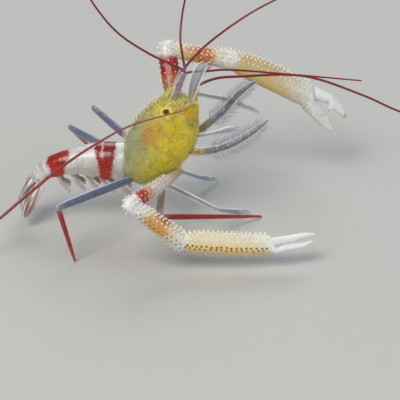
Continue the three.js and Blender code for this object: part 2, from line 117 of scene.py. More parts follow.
def roll(place, along, around, lumps=0.0, lump_size=1.0):
    """A closed skin: a flat sheet, u along the piece and v round it, put in place and sewn shut."""
    bm = bmesh.new()
    bm.loops.layers.uv.new("OFBake")
    bmesh.ops.create_grid(bm, x_segments=along, y_segments=around, size=0.5, calc_uvs=True)
    flat = np.array([vertex.co for vertex in bm.verts]) + 0.5
    for vertex, spot in zip(bm.verts, place(flat[:, 0], flat[:, 1] * math.tau)):
        vertex.co = spot
    bmesh.ops.remove_doubles(bm, verts=bm.verts, dist=SEAM)
    bmesh.ops.recalc_face_normals(bm, faces=bm.faces)
    if lumps:
        bm.normal_update()
        moves = [vertex.normal * noise.noise(vertex.co / lump_size) * lumps for vertex in bm.verts]
        for vertex, move in zip(bm.verts, moves):
            vertex.co += move
    return bm


def join(body, extra):
    """Adds one bmesh to another, by way of a spare mesh."""
    spare = bpy.data.meshes.new("spare")
    extra.to_mesh(spare)
    extra.free()
    body.from_mesh(spare)
    bpy.data.meshes.remove(spare)


def seat(name, mesh, finish, nodes=()):
    """Hangs a mesh on the animal's body, in place of the solids it stands for."""
    mesh.shade_smooth()
    mesh.materials.append(finish)
    piece = bpy.data.objects.new(name, mesh)
    bpy.context.scene.collection.objects.link(piece)
    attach(piece, "root")
    if nodes:
        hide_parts(*nodes)


def show(name, bm, finish, slot, *nodes):
    """Turns a finished bmesh from layout millimetres into metres and seats it."""
    bmesh.ops.transform(bm, matrix=TO_METRES, verts=bm.verts)
    mesh = bpy.data.meshes.new(name)
    bm.to_mesh(mesh)
    bm.free()
    seat(name, mesh, finish, nodes)


def carapace_shell(share, turn):
    """The shell's surface. turn runs round it from under the belly, up the right side and over."""
    inside = np.clip((share - REAR_CUP) / (1 - REAR_CUP - FACE_DOME), 0, 1)
    high, low = back_line(inside), belly_line(inside)
    half_width = CARAPACE_WIDTH / 2 * (1 - CARAPACE_TAPER * (inside - CARAPACE_WIDEST) ** 2)
    cup = np.clip(1 - share / REAR_CUP, 0, 1) * math.pi / 2
    dome = np.clip((share - 1 + FACE_DOME) / FACE_DOME, 0, 1) * math.pi / 2
    ring = np.cos(cup) * np.cos(dome)
    ring = ring + REAR_RIM[0] * hump(inside - REAR_RIM[1], REAR_RIM[1]) * (cup == 0)
    flank = np.clip(1 - np.abs(np.cos(turn) + 0.1), 0, 1)
    ring = ring - NECK_GROOVE[0] * flank * hump(inside - 0.5 - 0.1 * np.cos(turn), NECK_GROOVE[1])
    trough = hump(np.abs(turn - math.pi) - math.pi, LEG_TROUGH[1])
    ring = ring - LEG_TROUGH[0] * trough * np.sin(inside * math.pi)
    spot = (high + low) / 2 - (high - low) / 2 * (ring * np.cos(turn))[:, None]
    spot[:, 1] -= half_width * ring * np.sin(turn)
    spot[:, 0] += REAR_TUCK * np.sin(cup)
    return spot + FACE_AHEAD * (FACE_RISE * np.sin(dome))[:, None]


back_line, belly_line = smooth_line(BACK, False), smooth_line(BELLY, False)
shell = roll(carapace_shell, 150, 180, lumps=0.16, lump_size=1.9)

# The orbits: the shell draws in round each eye's stalk and swells into a rim behind it.
for eye in EYES.values():
    for vertex in shell.verts:
        near = (vertex.co - eye).length
        if near < ORBIT_REACH:
            vertex.co += vertex.normal * (0.05 * hump(near - 1.1, 0.35) - 0.45 * hump(near, 0.6))


def fullness(share, caps):
    """How full a piece is at each share of its length: one, but rounded off to nothing over its two caps."""
    start = np.clip(1 - share / caps[0], 0, 1)
    end = np.clip(1 - (1 - share) / caps[1], 0, 1)
    return np.sqrt(1 - start**2) * np.sqrt(1 - end**2)


def section(turn, box):
    """How far aside and how far up a section reaches: an ellipse where box is 2, and squarer above that."""
    return [np.sign(way) * np.abs(way) ** (2 / box) for way in (np.cos(turn), np.sin(turn))]


def rod(line, widths, depths, wideways, caps=(0.03, 0.03), box=2.0, swell=None):
    """The surface of a tapering rod. v 0.25 is its top edge, 0.5 its across side and 0.75 its bottom edge."""
    wideways = np.array(wideways, dtype=float)

    def place(share, turn):
        along = unit(line(np.minimum(share + STEP, 1)) - line(np.maximum(share - STEP, 0)))
        across = unit(np.cross(along, wideways))
        full = fullness(share, caps) * (swell(share, turn) if swell else 1)
        aside, up = section(turn, box)
        spot = line(share) - across * (aside * full * stops(depths, share) / 2)[:, None]
        return spot + np.cross(across, along) * (up * full * stops(widths, share) / 2)[:, None]

    return place


beak_line = smooth_line([BEAK_ROOT, (4.7, 0, 28.75), BEAK_TIP])
join(shell, roll(rod(beak_line, [1.7, 1.5, 1.0, 0.25], [1.7, 1.2, 0.7, 0.25], (0, 0, 1)), 24, 16))


def paint(hex_colour):
    """An sRGB hex colour as the linear colour that the shader wants."""
    channels = [int(hex_colour[i : i + 2], 16) / 255 for i in (0, 2, 4)]
    return (*[c / 12.92 if c <= 0.04045 else ((c + 0.055) / 1.055) ** 2.4 for c in channels], 1.0)


def add(tree, kind, sockets=(), ramp=(), **settings):
    """Adds a shader node with its settings, and its sockets' links, values and hex colours, and gives its
    first live output."""
    made = tree.nodes.new("ShaderNode" + kind)
    for name, value in settings.items():
        setattr(made, name, value)
    for name, value in dict(sockets).items():
        if isinstance(value, bpy.types.NodeSocket):
            tree.links.new(value, made.inputs[name])
        else:
            made.inputs[name].default_value = paint(value) if isinstance(value, str) else value
    for index, (place, colour) in enumerate(ramp):
        points = made.color_ramp.elements
        point = points[index] if index < 2 else points.new(place)
        point.position = place
        point.color = paint(colour)
    return next(output for output in made.outputs if output.enabled)


def stain(tree, colour, level, bare_at, full_at, pigment, most=1.0, within=None, soft=False):
    """Lays a pigment over the colour: none of it where the level is at bare_at and the most at full_at, all
    scaled by within, a share of its own."""
    share = add(tree, "MapRange", {"Value": level, "From Min": bare_at, "From Max": full_at, "To Max": most},
                interpolation_type="SMOOTHSTEP" if soft else "LINEAR")
    if within is not None:
        share = add(tree, "Math", {0: share, 1: within}, operation="MULTIPLY")
    return add(tree, "Mix", {0: share, 6: colour, 7: pigment}, data_type="RGBA")


def shell_finish(name, along, marks=None, *, mottle, rough=0.38, relief=(0.35, 0.05), glow=0.18, wet=0.25,
                 tip="faf7ec", mark_tip="4a2410", sheer=None):
    """A wet shell: colours along its unwrap, mottled, with paler spine tips and a fine pitted surface.
    mottle and relief say how many millimetres their patches span, and how strong or deep they are. sheer is
    how solid a clear limb looks through its middle, where its two edges stay full. Every pattern is drawn on
    spot, which counts millimetres, so a texture's Scale is its patches to the millimetre."""
    material = bpy.data.materials.new(name)
    material.use_nodes = True
    tree = material.node_tree
    spot = add(tree, "Mapping", {"Vector": add(tree, "TexCoord").node.outputs["Object"],
                                 "Location": -BODY_ZERO, "Scale": (1000, 1000, 1000)})
    unwrap = add(tree, "SeparateXYZ", {"Vector": add(tree, "UVMap", uv_map="OFBake")}).node.outputs
    colour = add(tree, "ValToRGB", {"Fac": unwrap["X"]}, ramp=along)
    clouds = add(tree, "TexNoise", {"Vector": spot, "Scale": 1 / mottle[0], "Detail": 4.0})
    shade = add(tree, "MapRange", {"Value": clouds, "From Min": 0.3, "From Max": 0.7,
                                   "To Min": 1 - mottle[1], "To Max": 1 + mottle[1] * 0.5})
    colour = add(tree, "VectorMath", {0: colour, "Scale": shade}, operation="SCALE")
    if marks:
        colour = marks(tree, spot, unwrap, colour)
    height = add(tree, "Attribute", attribute_name="tip").node.outputs["Fac"]
    tone = add(tree, "Attribute", attribute_name="tone").node.outputs["Fac"]
    tips = add(tree, "Mix", {0: tone, 6: tip, 7: mark_tip}, data_type="RGBA")
    fade = add(tree, "MapRange", {"Value": height, "From Min": 0.05, "From Max": 0.5, "To Max": 0.92})
    pits = add(tree, "TexNoise", {"Vector": spot, "Scale": 1 / relief[0], "Detail": 5.0})
    links = {
        "Base Color": add(tree, "Mix", {0: fade, 6: colour, 7: tips}, data_type="RGBA"),
        "Roughness": add(tree, "MapRange", {"Value": pits, "To Min": rough - 0.12, "To Max": rough + 0.14}),
        "Normal": add(tree, "Bump", {"Height": pits, "Distance": relief[1] * 0.001, "Strength": 0.9}),
    }
    if sheer is not None:
        from_core = add(tree, "Math", {0: unwrap["Y"], 1: 0.25}, operation="PINGPONG")
        solid = add(tree, "MapRange", {"Value": from_core, "From Min": 0.06, "From Max": 0.2,
                                       "To Min": sheer}, interpolation_type="SMOOTHSTEP")
        links["Alpha"] = add(tree, "Math", {0: solid, 1: fade}, operation="MAXIMUM")
    shader = tree.nodes["Principled BSDF"]
    for socket, output in links.items():
        tree.links.new(output, shader.inputs[socket])
    for socket, value in (("IOR", 1.5), ("Subsurface Weight", glow), ("Subsurface Radius", (1.0, 0.7, 0.4)),
                          ("Subsurface Scale", 0.0009), ("Coat Weight", wet), ("Coat Roughness", 0.16)):
        shader.inputs[socket].default_value = value
    return material


def carapace_marks(tree, spot, unwrap, colour):
    """A grey-green saddle behind, the organs' orange glow on cheek and snout, painted shade that darkens the
    shell to olive low down, dark pores.
    """
    axes = add(tree, "SeparateXYZ", {"Vector": spot}).node.outputs
    off_middle = add(tree, "Math", {0: axes["Y"]}, operation="ABSOLUTE")
    folded = add(tree, "CombineXYZ", {"X": axes["X"], "Y": off_middle, "Z": axes["Z"]})
    waver = add(tree, "TexNoise", {"Vector": spot, "Scale": 0.45, "Detail": 3.0})
    waver = add(tree, "Math", {0: waver, 1: 0.5}, operation="SUBTRACT")
    for centre, reach, pigment, most in CARAPACE_STAINS:
        far = add(tree, "VectorMath", {0: folded, 1: centre}, operation="DISTANCE")
        far = add(tree, "Math", {0: waver, 1: 5.0, 2: far}, operation="MULTIPLY_ADD")
        colour = stain(tree, colour, far, reach, reach * 0.25, pigment, most, soft=True)
    dots = add(tree, "TexVoronoi", {"Vector": spot, "Scale": 1.9})
    behind = add(tree, "MapRange", {"Value": axes["X"], "From Min": 3.0, "From Max": -3.0, "To Min": 0.2})
    return stain(tree, colour, dots, 0.2, 0.12, "55531c", 0.5, behind)


CARAPACE_STAINS = [
    ((-5.5, 0.0, 20.5), 11.5, "a0aa92", 1.0),
    ((-5.4, 3.0, 13.0), 4.5, "b5b48a", 0.6),
    ((0.5, 4.5, 21.4), 3.6, "cf8a10", 0.6),
    ((8.0, 2.4, 25.0), 3.6, "d09a18", 0.5),
    # Painted shade: the shell darkened to olive low on the flanks, where the light from above falls least.
    ((3.0, 3.0, 9.3), 5.5, "857f1e", 0.7),
    ((4.5, 0.0, 29.0), 4.0, "bfc152", 0.6),
]
# Chitin over yellow tissue: a satin, slightly see-in surface, freckled with pores.
carapace_chitin = shell_finish(
    "yellow_carapace_chitin", [(0.0, "b4b684"), (0.26, "cdc22c"), (0.55, "e2cc10"), (1.0, "dccb2c")],
    carapace_marks, mottle=(0.9, 0.26), relief=(0.3, 0.05), glow=0.25, tip="e6da62", mark_tip="f8f5de")
show("carapace_shell", shell, carapace_chitin, "carapace_shell", "carapace")


# ---- Carapace spines and spinules
# Sharp forward-leaning outgrowths of the shell itself: a crest of long ones along the back, shorter ones
# down the flanks, and between them a close nap of spinules that makes the animal look furred.
PATCH = 0.003  # each spine's own patch on the unwrap
CREST_ROWS = [(0.0, 17, 0.1, 0.84), (0.2, 15, 0.12, 0.82), (-0.2, 15, 0.12, 0.82)]  # turn, count, first, last
CREST_HEIGHT = 1.5
FLANK_SPINES, SPINULES, FRONT_SPINES = 560, 8200, 320
BELLY_TOP = 9.5  # no spines grow below this
SPINE_DRAW = np.random.default_rng(11)


def sprout(sides, rings, drawn_in=1.0):
    """One spine to copy: a cone of unit width and height that stands on z = 0, cut into rings to bend."""
    bm = bmesh.new()
    bmesh.ops.create_cone(bm, cap_ends=True, segments=sides, radius1=0.5, radius2=0, depth=1,
                          matrix=Matrix.Translation((0, 0, 0.5)))
    for ring in range(1, rings):
        bmesh.ops.bisect_plane(bm, geom=[*bm.verts, *bm.edges, *bm.faces], plane_co=(0, 0, ring / rings),
                               plane_no=(0, 0, 1))
    bmesh.ops.recalc_face_normals(bm, faces=bm.faces)
    for vertex in bm.verts:
        fuller = (1 - vertex.co.z) ** (drawn_in - 1) if 0 < vertex.co.z < 1 else 1
        vertex.co.x *= fuller
        vertex.co.y *= fuller
    points = np.array([vertex.co for vertex in bm.verts])
    faces = [[vertex.index for vertex in face.verts] for face in bm.faces]
    bm.free()
    return points, faces


def rooted(place, share, turn):
    """Where spines stand on a surface: their roots, the way out of it and the way forward along it."""
    root = place(share, turn)
    onward = place(np.minimum(share + STEP, 1), turn) - place(np.maximum(share - STEP, 0), turn)
    round_it = place(share, turn + 0.02) - place(share, turn - 0.02)
    out = unit(np.cross(onward, round_it))
    outside = np.sum(out * (root - place(share, turn + math.pi)), axis=1, keepdims=True)
    return root, out * np.where(outside < 0, -1.0, 1.0), unit(onward)


def plant(name, one, place, share, turn, lengths, widths, finish, lean, bow=0.0, tuck=0.1, tone=0.0,
          stray=0.0, where=None):
    """Copies one spine to many places on a surface as a single mesh, each with its patch of the unwrap at its
    root. A spine leans and bows forward, strays a little, and is tucked in at its root, and where says of
    each root whether one grows there."""
    root, out, onward = rooted(place, share, turn)
    keep = where(root) if where else np.full(len(root), True)
    rise = unit(out + onward * lean + stray)[keep]
    root, onward = (root - out * tuck)[keep], onward[keep]
    lengths, widths, tone, share, turn = (np.broadcast_to(size, len(keep))[keep]
                                          for size in (lengths, widths, tone, share, turn))
    other = np.where(np.abs(rise[:, 2:]) < 0.9, np.array([[0.0, 0.0, 1.0]]), np.array([[1.0, 0.0, 0.0]]))
    right = unit(np.cross(other, rise))
    points, faces = one
    count, size = len(root), len(points)
    spots = root[:, None] + right[:, None] * (points[None, :, :1] * widths[:, None, None])
    spots = spots + np.cross(rise, right)[:, None] * (points[None, :, 1:2] * widths[:, None, None])
    spots = spots + rise[:, None] * (points[None, :, 2:] * lengths[:, None, None])
    spots = spots + (onward * bow)[:, None] * (points[None, :, 2:] ** 2 * lengths[:, None, None])
    spots = (spots.reshape(-1, 3) + np.array(BODY_ZERO)) * 0.001
    mesh = bpy.data.meshes.new(name)
    all_faces = [[vertex + size * i for vertex in face] for i in range(count) for face in faces]
    mesh.from_pydata(spots.tolist(), [], all_faces)
    spread = np.stack([points[:, 2], np.arctan2(points[:, 1], points[:, 0]) / math.tau + 0.5], axis=-1) - 0.5
    home = np.clip(np.stack([share, turn / math.tau % 1], axis=-1), PATCH, 1 - PATCH)
    patch = home[:, None] + spread[None] * PATCH
    corner = np.zeros(len(mesh.loops), np.int32)
    mesh.loops.foreach_get("vertex_index", corner)
    mesh.uv_layers.new(name="OFBake").data.foreach_set("uv", patch.reshape(-1, 2)[corner].ravel())
    for kind, values in (("tip", np.tile(points[:, 2], count)), ("tone", np.repeat(tone, size))):
        mesh.attributes.new(kind, "FLOAT", "POINT").data.foreach_set("value", values)
    seat(name, mesh, finish)


def off_the_eyes(root, least):
    return np.all([np.linalg.norm(root - np.array(eye), axis=1) > least for eye in EYES.values()], axis=0)


thorn, spinule = sprout(6, 3), sprout(4, 1)
share = np.concatenate([np.linspace(first, last, count) for turn, count, first, last in CREST_ROWS])
turn = np.concatenate([np.full(count, turn) for turn, count, first, last in CREST_ROWS])
crest = len(share)
share = np.concatenate([share, SPINE_DRAW.uniform(0.09, 0.9, FLANK_SPINES)])
turn = np.concatenate([turn, SPINE_DRAW.uniform(-2.3, 2.3, FLANK_SPINES)])
height = np.interp(np.abs(turn), [0, 0.9, 2.3], [0.85, 0.6, 0.4])
height[:crest] = CREST_HEIGHT
height = height * SPINE_DRAW.uniform(0.8, 1.15, len(share))
plant("carapace_spines", thorn, carapace_shell, share, math.pi + turn, height * 1.1,
      np.interp(height, [0.3, 1.5], [0.16, 0.36]), carapace_chitin, lean=0.75, bow=0.35,
      tone=np.interp(height, [0.5, 1.2], [0.5, 1.0]),
      where=lambda root: off_the_eyes(root, 1.3) & (root[:, 2] > BELLY_TOP))

share = SPINE_DRAW.uniform(0.07, 0.97, SPINULES)
turn = SPINE_DRAW.uniform(-2.7, 2.7, SPINULES)
height = SPINE_DRAW.uniform(0.22, 0.5, SPINULES)
plant("carapace_spinules", spinule, carapace_shell, share, math.pi + turn, height, 0.09, carapace_chitin,
      lean=1.25, tuck=0.06, tone=SPINE_DRAW.choice([0.0, 0.0, 0.4], SPINULES),
      where=lambda root: off_the_eyes(root, 1.0))

# Longer pale bristly spines along the front edge, round the mouth and the feelers' bases.
share = SPINE_DRAW.uniform(0.84, 0.97, FRONT_SPINES)
turn = SPINE_DRAW.uniform(-2.6, 2.6, FRONT_SPINES)
height = SPINE_DRAW.uniform(0.5, 1.0, FRONT_SPINES)
plant("carapace_front_spines", thorn, carapace_shell, share, math.pi + turn, height, height * 0.3,
      carapace_chitin, lean=0.5, bow=0.2, tone=0.6,
      where=lambda root: off_the_eyes(root, 1.3))


# ---- Eyes
# Two small stalked compound eyes. The cornea is a clear shell over black pigment and shines like a wet
# bead; a pale speckled collar joins it to a short yellow stalk that turns in the orbit.
EYE_RADIUS = 0.55
EYE_STALK = 1.3
EYE_WIDTHS = [1.05, 0.95, 0.85, 0.98, 1.12, 1.02, 0.85]
COLLAR_END = 0.66  # where the cornea starts, as a share of eye and stalk


def eye_marks(tree, spot, unwrap, colour):
    """White speckles on the collar where the stalk meets the cornea."""
    dots = add(tree, "TexVoronoi", {"Vector": spot, "Scale": 6.0})
    before = add(tree, "Math", {0: unwrap["X"], 1: COLLAR_END}, operation="LESS_THAN")
    return stain(tree, colour, dots, 0.32, 0.2, "e9e6c4", within=before)


# Cornea over pigment: glossy black outside, cream collar, yellow stalk.
cornea = shell_finish(
    "black_cornea_and_stalk", [(0.0, "b7a52c"), (0.5, "c4b440"), (0.56, "dcd8b0"), (0.61, "d6d1a8"),
    (0.65, "15140f"), (1.0, "07070a")], eye_marks, mottle=(0.5, 0.1), rough=0.14, relief=(0.12, 0.004),
    glow=0.0, wet=1.0)
for side, name in SIDES:
    eye = EYES[name]
    stalk_root = eye + Vector((0.2, -side * EYE_STALK, -0.2))
    eye_line = smooth_line([stalk_root, eye, eye + (eye - stalk_root).normalized() * EYE_RADIUS])
    ball = rod(eye_line, EYE_WIDTHS, EYE_WIDTHS, (0, 0, 1), caps=(0.1, 0.34))
    show(f"eye_{name}_ball", roll(ball, 36, 24), cornea, "eye", f"eye_{name}")


# ---- Abdomen
# Six hinged rings of shell, each lapped over the one behind it and drawn down at the sides into rounded
# flaps. White chitin with two broad crimson bands, bound together by thin skin between the rings.
ABDOMEN_LINE = [(-5.1, 0, 13.5), (-10, 0, 13.8), (-14, 0, 13.6), (-17.5, 0, 12.9), (-20.4, 0, 11.6),
                (-22.8, 0, 9.4)]
ABDOMEN_HALF = [3.75, 3.5, 2.6, 2.1, 1.7]
RING_LENGTHS = [2.3, 3.2, 3.6, 3.0, 3.9, 3.2]
RING_GAP = 0.05
RING_LAP = 0.7  # how far a ring's front is tucked under the one before it
RING_LIP = (0.09, 0.22, 0.2)  # how high the rear lip stands, how far from the rear edge, and its reach
FLAP_TURN, FLAP_REACH = 2.35, 0.26  # where the side flaps hang, as a turn from the back, and how wide
abdomen_line = smooth_line(ABDOMEN_LINE)
abdomen_length = sum(np.linalg.norm(np.diff(abdomen_line(np.linspace(0, 1, 200)), axis=0), axis=1))


def abdomen_marks(tree, spot, unwrap, colour):
    """Beige towards the belly, grey by the tail, then the two crimson bands with their ragged, speckled
    edges, redder low down, the front band darkened partly with painted shade, and the pale seam that parts
    the front band over the back."""
    axes = add(tree, "SeparateXYZ", {"Vector": spot}).node.outputs
    off_back = add(tree, "Math", {0: unwrap["Y"], 1: 0.5}, operation="SUBTRACT")
    off_back = add(tree, "Math", {0: off_back}, operation="ABSOLUTE")
    ahead = add(tree, "MapRange", {"Value": axes["X"], "From Min": -19.0, "From Max": -12.0, "To Min": 0.15})
    colour = stain(tree, colour, off_back, 0.14, 0.3, "c9b795", 0.5, ahead, soft=True)
    behind = add(tree, "MapRange", {"Value": axes["X"], "From Min": -19.8, "From Max": -21.2, "To Min": 0.4})
    clear = add(tree, "TexNoise", {"Vector": spot, "Scale": 1.1, "Detail": 4.0})
    colour = stain(tree, colour, clear, 0.45, 0.6, "9aa0a6", 0.6, behind)
    veins = add(tree, "TexNoise", {"Vector": spot, "Scale": 1.3, "Detail": 3.0})
    tatters = add(tree, "TexNoise", {"Vector": spot, "Scale": 1.5, "Detail": 4.0, "Roughness": 0.65})
    tatters = add(tree, "Math", {0: tatters, 1: 0.5}, operation="SUBTRACT")
    specks = add(tree, "TexNoise", {"Vector": spot, "Scale": 4.2, "Detail": 2.0})
    specks = add(tree, "Math", {0: specks, 1: 0.5}, operation="SUBTRACT")
    for middle, top_half, low_half, deep, bright in ABDOMEN_BANDS:
        far = add(tree, "Math", {0: axes["X"], 1: middle}, operation="SUBTRACT")
        far = add(tree, "Math", {0: far}, operation="ABSOLUTE")
        half = add(tree, "MapRange", {"Value": unwrap["Y"], "From Min": 0.18, "From Max": 0.45,
                                      "To Min": low_half, "To Max": top_half},
                   interpolation_type="SMOOTHSTEP")
        far = add(tree, "Math", {0: far, 1: half}, operation="SUBTRACT")
        far = add(tree, "Math", {0: tatters, 1: 1.7, 2: far}, operation="MULTIPLY_ADD")
        far = add(tree, "Math", {0: specks, 1: 1.6, 2: far}, operation="MULTIPLY_ADD")
        band = add(tree, "ValToRGB", {"Fac": veins}, ramp=[(0.36, deep), (0.62, bright)])
        band = stain(tree, band, off_back, 0.14, 0.28, "c8260e", 0.65)
        colour = stain(tree, colour, far, 0.35, -0.25, band, soft=True)
    seam = add(tree, "Math", {0: axes["X"], 1: PALE_SEAM_X}, operation="SUBTRACT")
    seam = add(tree, "Math", {0: tatters, 1: 1.2, 2: seam}, operation="MULTIPLY_ADD")
    seam = add(tree, "Math", {0: seam}, operation="ABSOLUTE")
    over = add(tree, "MapRange", {"Value": off_back, "From Min": 0.2, "From Max": 0.14})
    return stain(tree, colour, seam, 0.2, 0.05, "e2c3b4", 0.8, over)


# A band's middle along the body, its half widths over the back and low down, and its two reds. The front
# band's reds are a deep crimson made darker still with painted shade.
ABDOMEN_BANDS = [(-8.6, 2.0, 1.2, "53070c", "ad1a14"), (-18.1, 2.2, 1.3, "7e0b0d", "be2015")]
PALE_SEAM_X = -9.2
# Porcelain-white chitin over muscle: a soft gloss, bluish on the back.
abdomen_chitin = shell_finish(
    "white_and_crimson_abdomen_chitin", [(0.0, "d9dce0"), (0.5, "e4e5e4"), (1.0, "dde2e6")], abdomen_marks,
    mottle=(1.6, 0.14), rough=0.3, relief=(0.5, 0.03), glow=0.3, wet=0.45)


def somite(start, length, flaps):
    """One ring's surface: a narrow tucked-in front, a full middle, a lipped rear rim and two side flaps."""

    def place(share, turn):
        way = start - RING_LAP + share * (length + RING_LAP)
        here = np.clip(way / abdomen_length, 0, 1)
        along = unit(abdomen_line(np.minimum(here + STEP, 1)) - abdomen_line(np.maximum(here - STEP, 0)))
        upward = np.stack([along[:, 2], np.zeros(len(here)), -along[:, 0]], axis=-1)
        neck = np.clip(share * (length + RING_LAP) / (RING_LAP * 1.3), 0, 1)
        half = stops(ABDOMEN_HALF, here) * (0.93 + 0.07 * np.sin(neck * math.pi / 2))
        half = half + RING_LIP[0] * hump((1 - share) * length - RING_LIP[1], RING_LIP[2])
        half = half * fullness(share, (0.04, 0.035))
        belly = np.clip(-np.cos(turn - math.pi), 0, 1)
        flap = flaps * hump(np.abs(turn - math.pi) - FLAP_TURN, FLAP_REACH)
        flap = flap * np.clip(np.sin(np.clip(share, 0, 1) * math.pi), 0, 1) ** 0.6
        up = half * (-np.cos(turn)) * (1 - 0.14 * belly) - half * 0.24 * flap
        spot = abdomen_line(here) + along * np.minimum(way, 0)[:, None] + upward * up[:, None]
        spot[:, 1] -= half * 0.95 * np.sin(turn) * (1 + 0.05 * flap)
        return spot

    return place


ring_start = 0.0
for order, length in enumerate(RING_LENGTHS, 1):
    length = min(length, abdomen_length - ring_start)
    ring = somite(ring_start, length - RING_GAP, 0.0 if order == len(RING_LENGTHS) else 1.0)
    show(f"abdomen_{order}_ring", roll(ring, 46, 96, lumps=0.05, lump_size=1.4), abdomen_chitin,
         "abdomen_red" if order in (2, 5) else "abdomen_white", f"abdomen_{order}")
    ring_start += length


# ---- Tail fan
# The telson between two pairs of uropods: thin ribbed blades of clear shell, streaked brown, whose free
# edges carry a comb of swimming hairs. They hang folded from the last ring.
FAN_BLADES = [
    ("telson", (-22.9, 0, 9.8), (-26.4, 0, 4.7), (3.2, 2.9, 2.4, 1.8, 0.7), (2.6, 1.7, 0.9, 0.5, 0.3),
     (0, 1, 0)),
    ("uropod_inner", (-22.3, 0.95, 8.5), (-25.5, 1.7, 3.2), (2.2, 2.2, 2.3, 2.0, 1.0), (0.8, 0.5, 0.4, 0.3),
     (1, 0.3, 0)),
    ("uropod_outer", (-22.0, 1.8, 8.4), (-25.0, 3.5, 2.6), (2.1, 2.3, 2.6, 2.3, 1.1), (0.8, 0.5, 0.4, 0.3),
     (1, 0.3, 0.2)),
]
FAN_TUCK = 0.12  # the share of a blade's length that lies inside the last ring
FAN_STREAKS = 13.0  # how many streaks and ribs lie side by side round a blade
FAN_DRAW = np.random.default_rng(23)


def mirrored(spot, side):
    return Vector((spot[0], spot[1] * side, spot[2]))


def fan_marks(tree, spot, unwrap, colour):
    """Brown-orange streaks down the blade between white ribs."""
    round_it = add(tree, "Math", {0: unwrap["Y"], 1: FAN_STREAKS}, operation="MULTIPLY")
    lengthwise = add(tree, "CombineXYZ", {"X": round_it, "Y": unwrap["X"]})
    streaks = add(tree, "TexNoise", {"Vector": lengthwise, "Scale": 1.0, "Detail": 2.0})
    colour = stain(tree, colour, streaks, 0.5, 0.6, "8a4a2c", 0.8)
    return stain(tree, colour, streaks, 0.45, 0.38, "fbfcfb", 0.95)


# Thin clear chitin: greyish, with white struts, and a little see-through down its broad sides.
fan_chitin = shell_finish(
    "clear_fan_chitin", [(0.0, "e8eaea"), (0.3, "cfc8c0"), (0.6, "ada49c"), (1.0, "a4a6a8")], fan_marks,
    mottle=(0.8, 0.2), rough=0.3, relief=(0.25, 0.03), glow=0.2, sheer=0.9, tip="e4e6e8")


def ribs(share, turn):
    """A rib raised down the middle of each broad side, fading towards the tip."""
    return 1 + 0.35 * hump(np.cos(turn) ** 2 - 1, 0.06) * (1 - share)


def fringe(name, place, edges, count, length, width, finish, draw, lean=0.9, span=(0.12, 0.97)):
    """A comb of soft hairs down the edges of a blade or limb, at the given turns round it."""
    share = np.tile(np.linspace(*span, count), len(edges)) + draw.uniform(-0.004, 0.004, count * len(edges))
    turn = np.repeat(edges, count) * math.tau + draw.uniform(-0.12, 0.12, count * len(edges))
    lengths = length * draw.uniform(0.7, 1.15, len(share))
    lengths = lengths * np.sin(np.clip(share * 1.05, 0, 1) * math.pi) ** 0.3
    plant(name, bristle, place, share, turn, lengths, width, finish, lean, bow=0.35, tuck=0.05,
          stray=draw.normal(0, 0.1, (len(share), 3)))


bristle = sprout(3, 3)
for blade, start, end, widths, depths, flat in FAN_BLADES:
    for side, name in SIDES[:1] if blade == "telson" else SIDES:
        full = blade if blade == "telson" else f"{blade}_{name}"
        root, tip = mirrored(start, side), mirrored(end, side)
        bend = root.lerp(tip, 0.5) + Vector((-0.2, 0, 0.12))
        blade_place = rod(smooth_line([root - (tip - root) * FAN_TUCK, bend, tip]), widths, depths,
                          mirrored(flat, side), caps=(0.06, 0.08), swell=ribs)
        show(f"{full}_blade", roll(blade_place, 60, 48), fan_chitin, "tail_fan", full)
        fringe(f"{full}_hairs", blade_place, [0.25, 0.75], 34, 0.7, 0.05, fan_chitin, FAN_DRAW)


# ---- Swimmerets
# Five pairs of little paddles under the abdomen, each a short stem with two narrow clear blades edged
# with hairs. They beat to drive water back, and here they slant forward at rest.
PADDLE_PAIRS = 5
FIRST_PADDLE, PADDLE_SPACING = 0.1, 0.155  # shares of the abdomen's length
PADDLE_DRAW = np.random.default_rng(31)
# Clear watery chitin, see-through down the middle and milky at its edges.
paddle_chitin = shell_finish(
    "clear_paddle_chitin", [(0.0, "cdc4b4"), (0.4, "c6bcb6"), (1.0, "d6d0ce")], mottle=(0.6, 0.15),
    rough=0.3, relief=(0.2, 0.02), sheer=0.75, glow=0.4, tip="efece6")
for pair in range(PADDLE_PAIRS):
    along = FIRST_PADDLE + pair * PADDLE_SPACING
    middle = Vector(abdomen_line(np.array([along]))[0])
    half = float(np.interp(along, np.linspace(0, 1, len(ABDOMEN_HALF)), ABDOMEN_HALF))
    for side, name in SIDES:
        paddle = f"swimmeret_{name}_{pair + 1}"
        top = middle + Vector((0.2, side * half * 0.42, -half * 0.9 - 0.39))
        foot = top + Vector((3.2 - pair * 0.15, side * 0.4, -3.6 + pair * 0.15))
        stem = rod(smooth_line([top + Vector((0, 0, 0.9)), top.lerp(foot, 0.45), foot]),
                   [0.6, 0.8, 1.0, 0.9, 0.45], [0.6, 0.7, 0.75, 0.6, 0.3], (0, 1, 0), caps=(0.05, 0.06))
        blades = roll(stem, 40, 16)
        fork = top.lerp(foot, 0.42)
        bend = fork.lerp(foot, 0.5) + Vector((0.3, side * 0.25, 0.25))
        second = rod(smooth_line([fork, bend, foot + Vector((0.1, side * 0.3, 0.4))]),
                     [0.4, 0.6, 0.3], [0.35, 0.45, 0.25], (0, 1, 0), caps=(0.1, 0.1))
        join(blades, roll(second, 24, 12))
        show(f"{paddle}_paddles", blades, paddle_chitin, "leg_clear", paddle)
        fringe(f"{paddle}_hairs", stem, [0.25, 0.75], 12, 0.3, 0.02, paddle_chitin, PADDLE_DRAW,
               span=(0.5, 0.98))
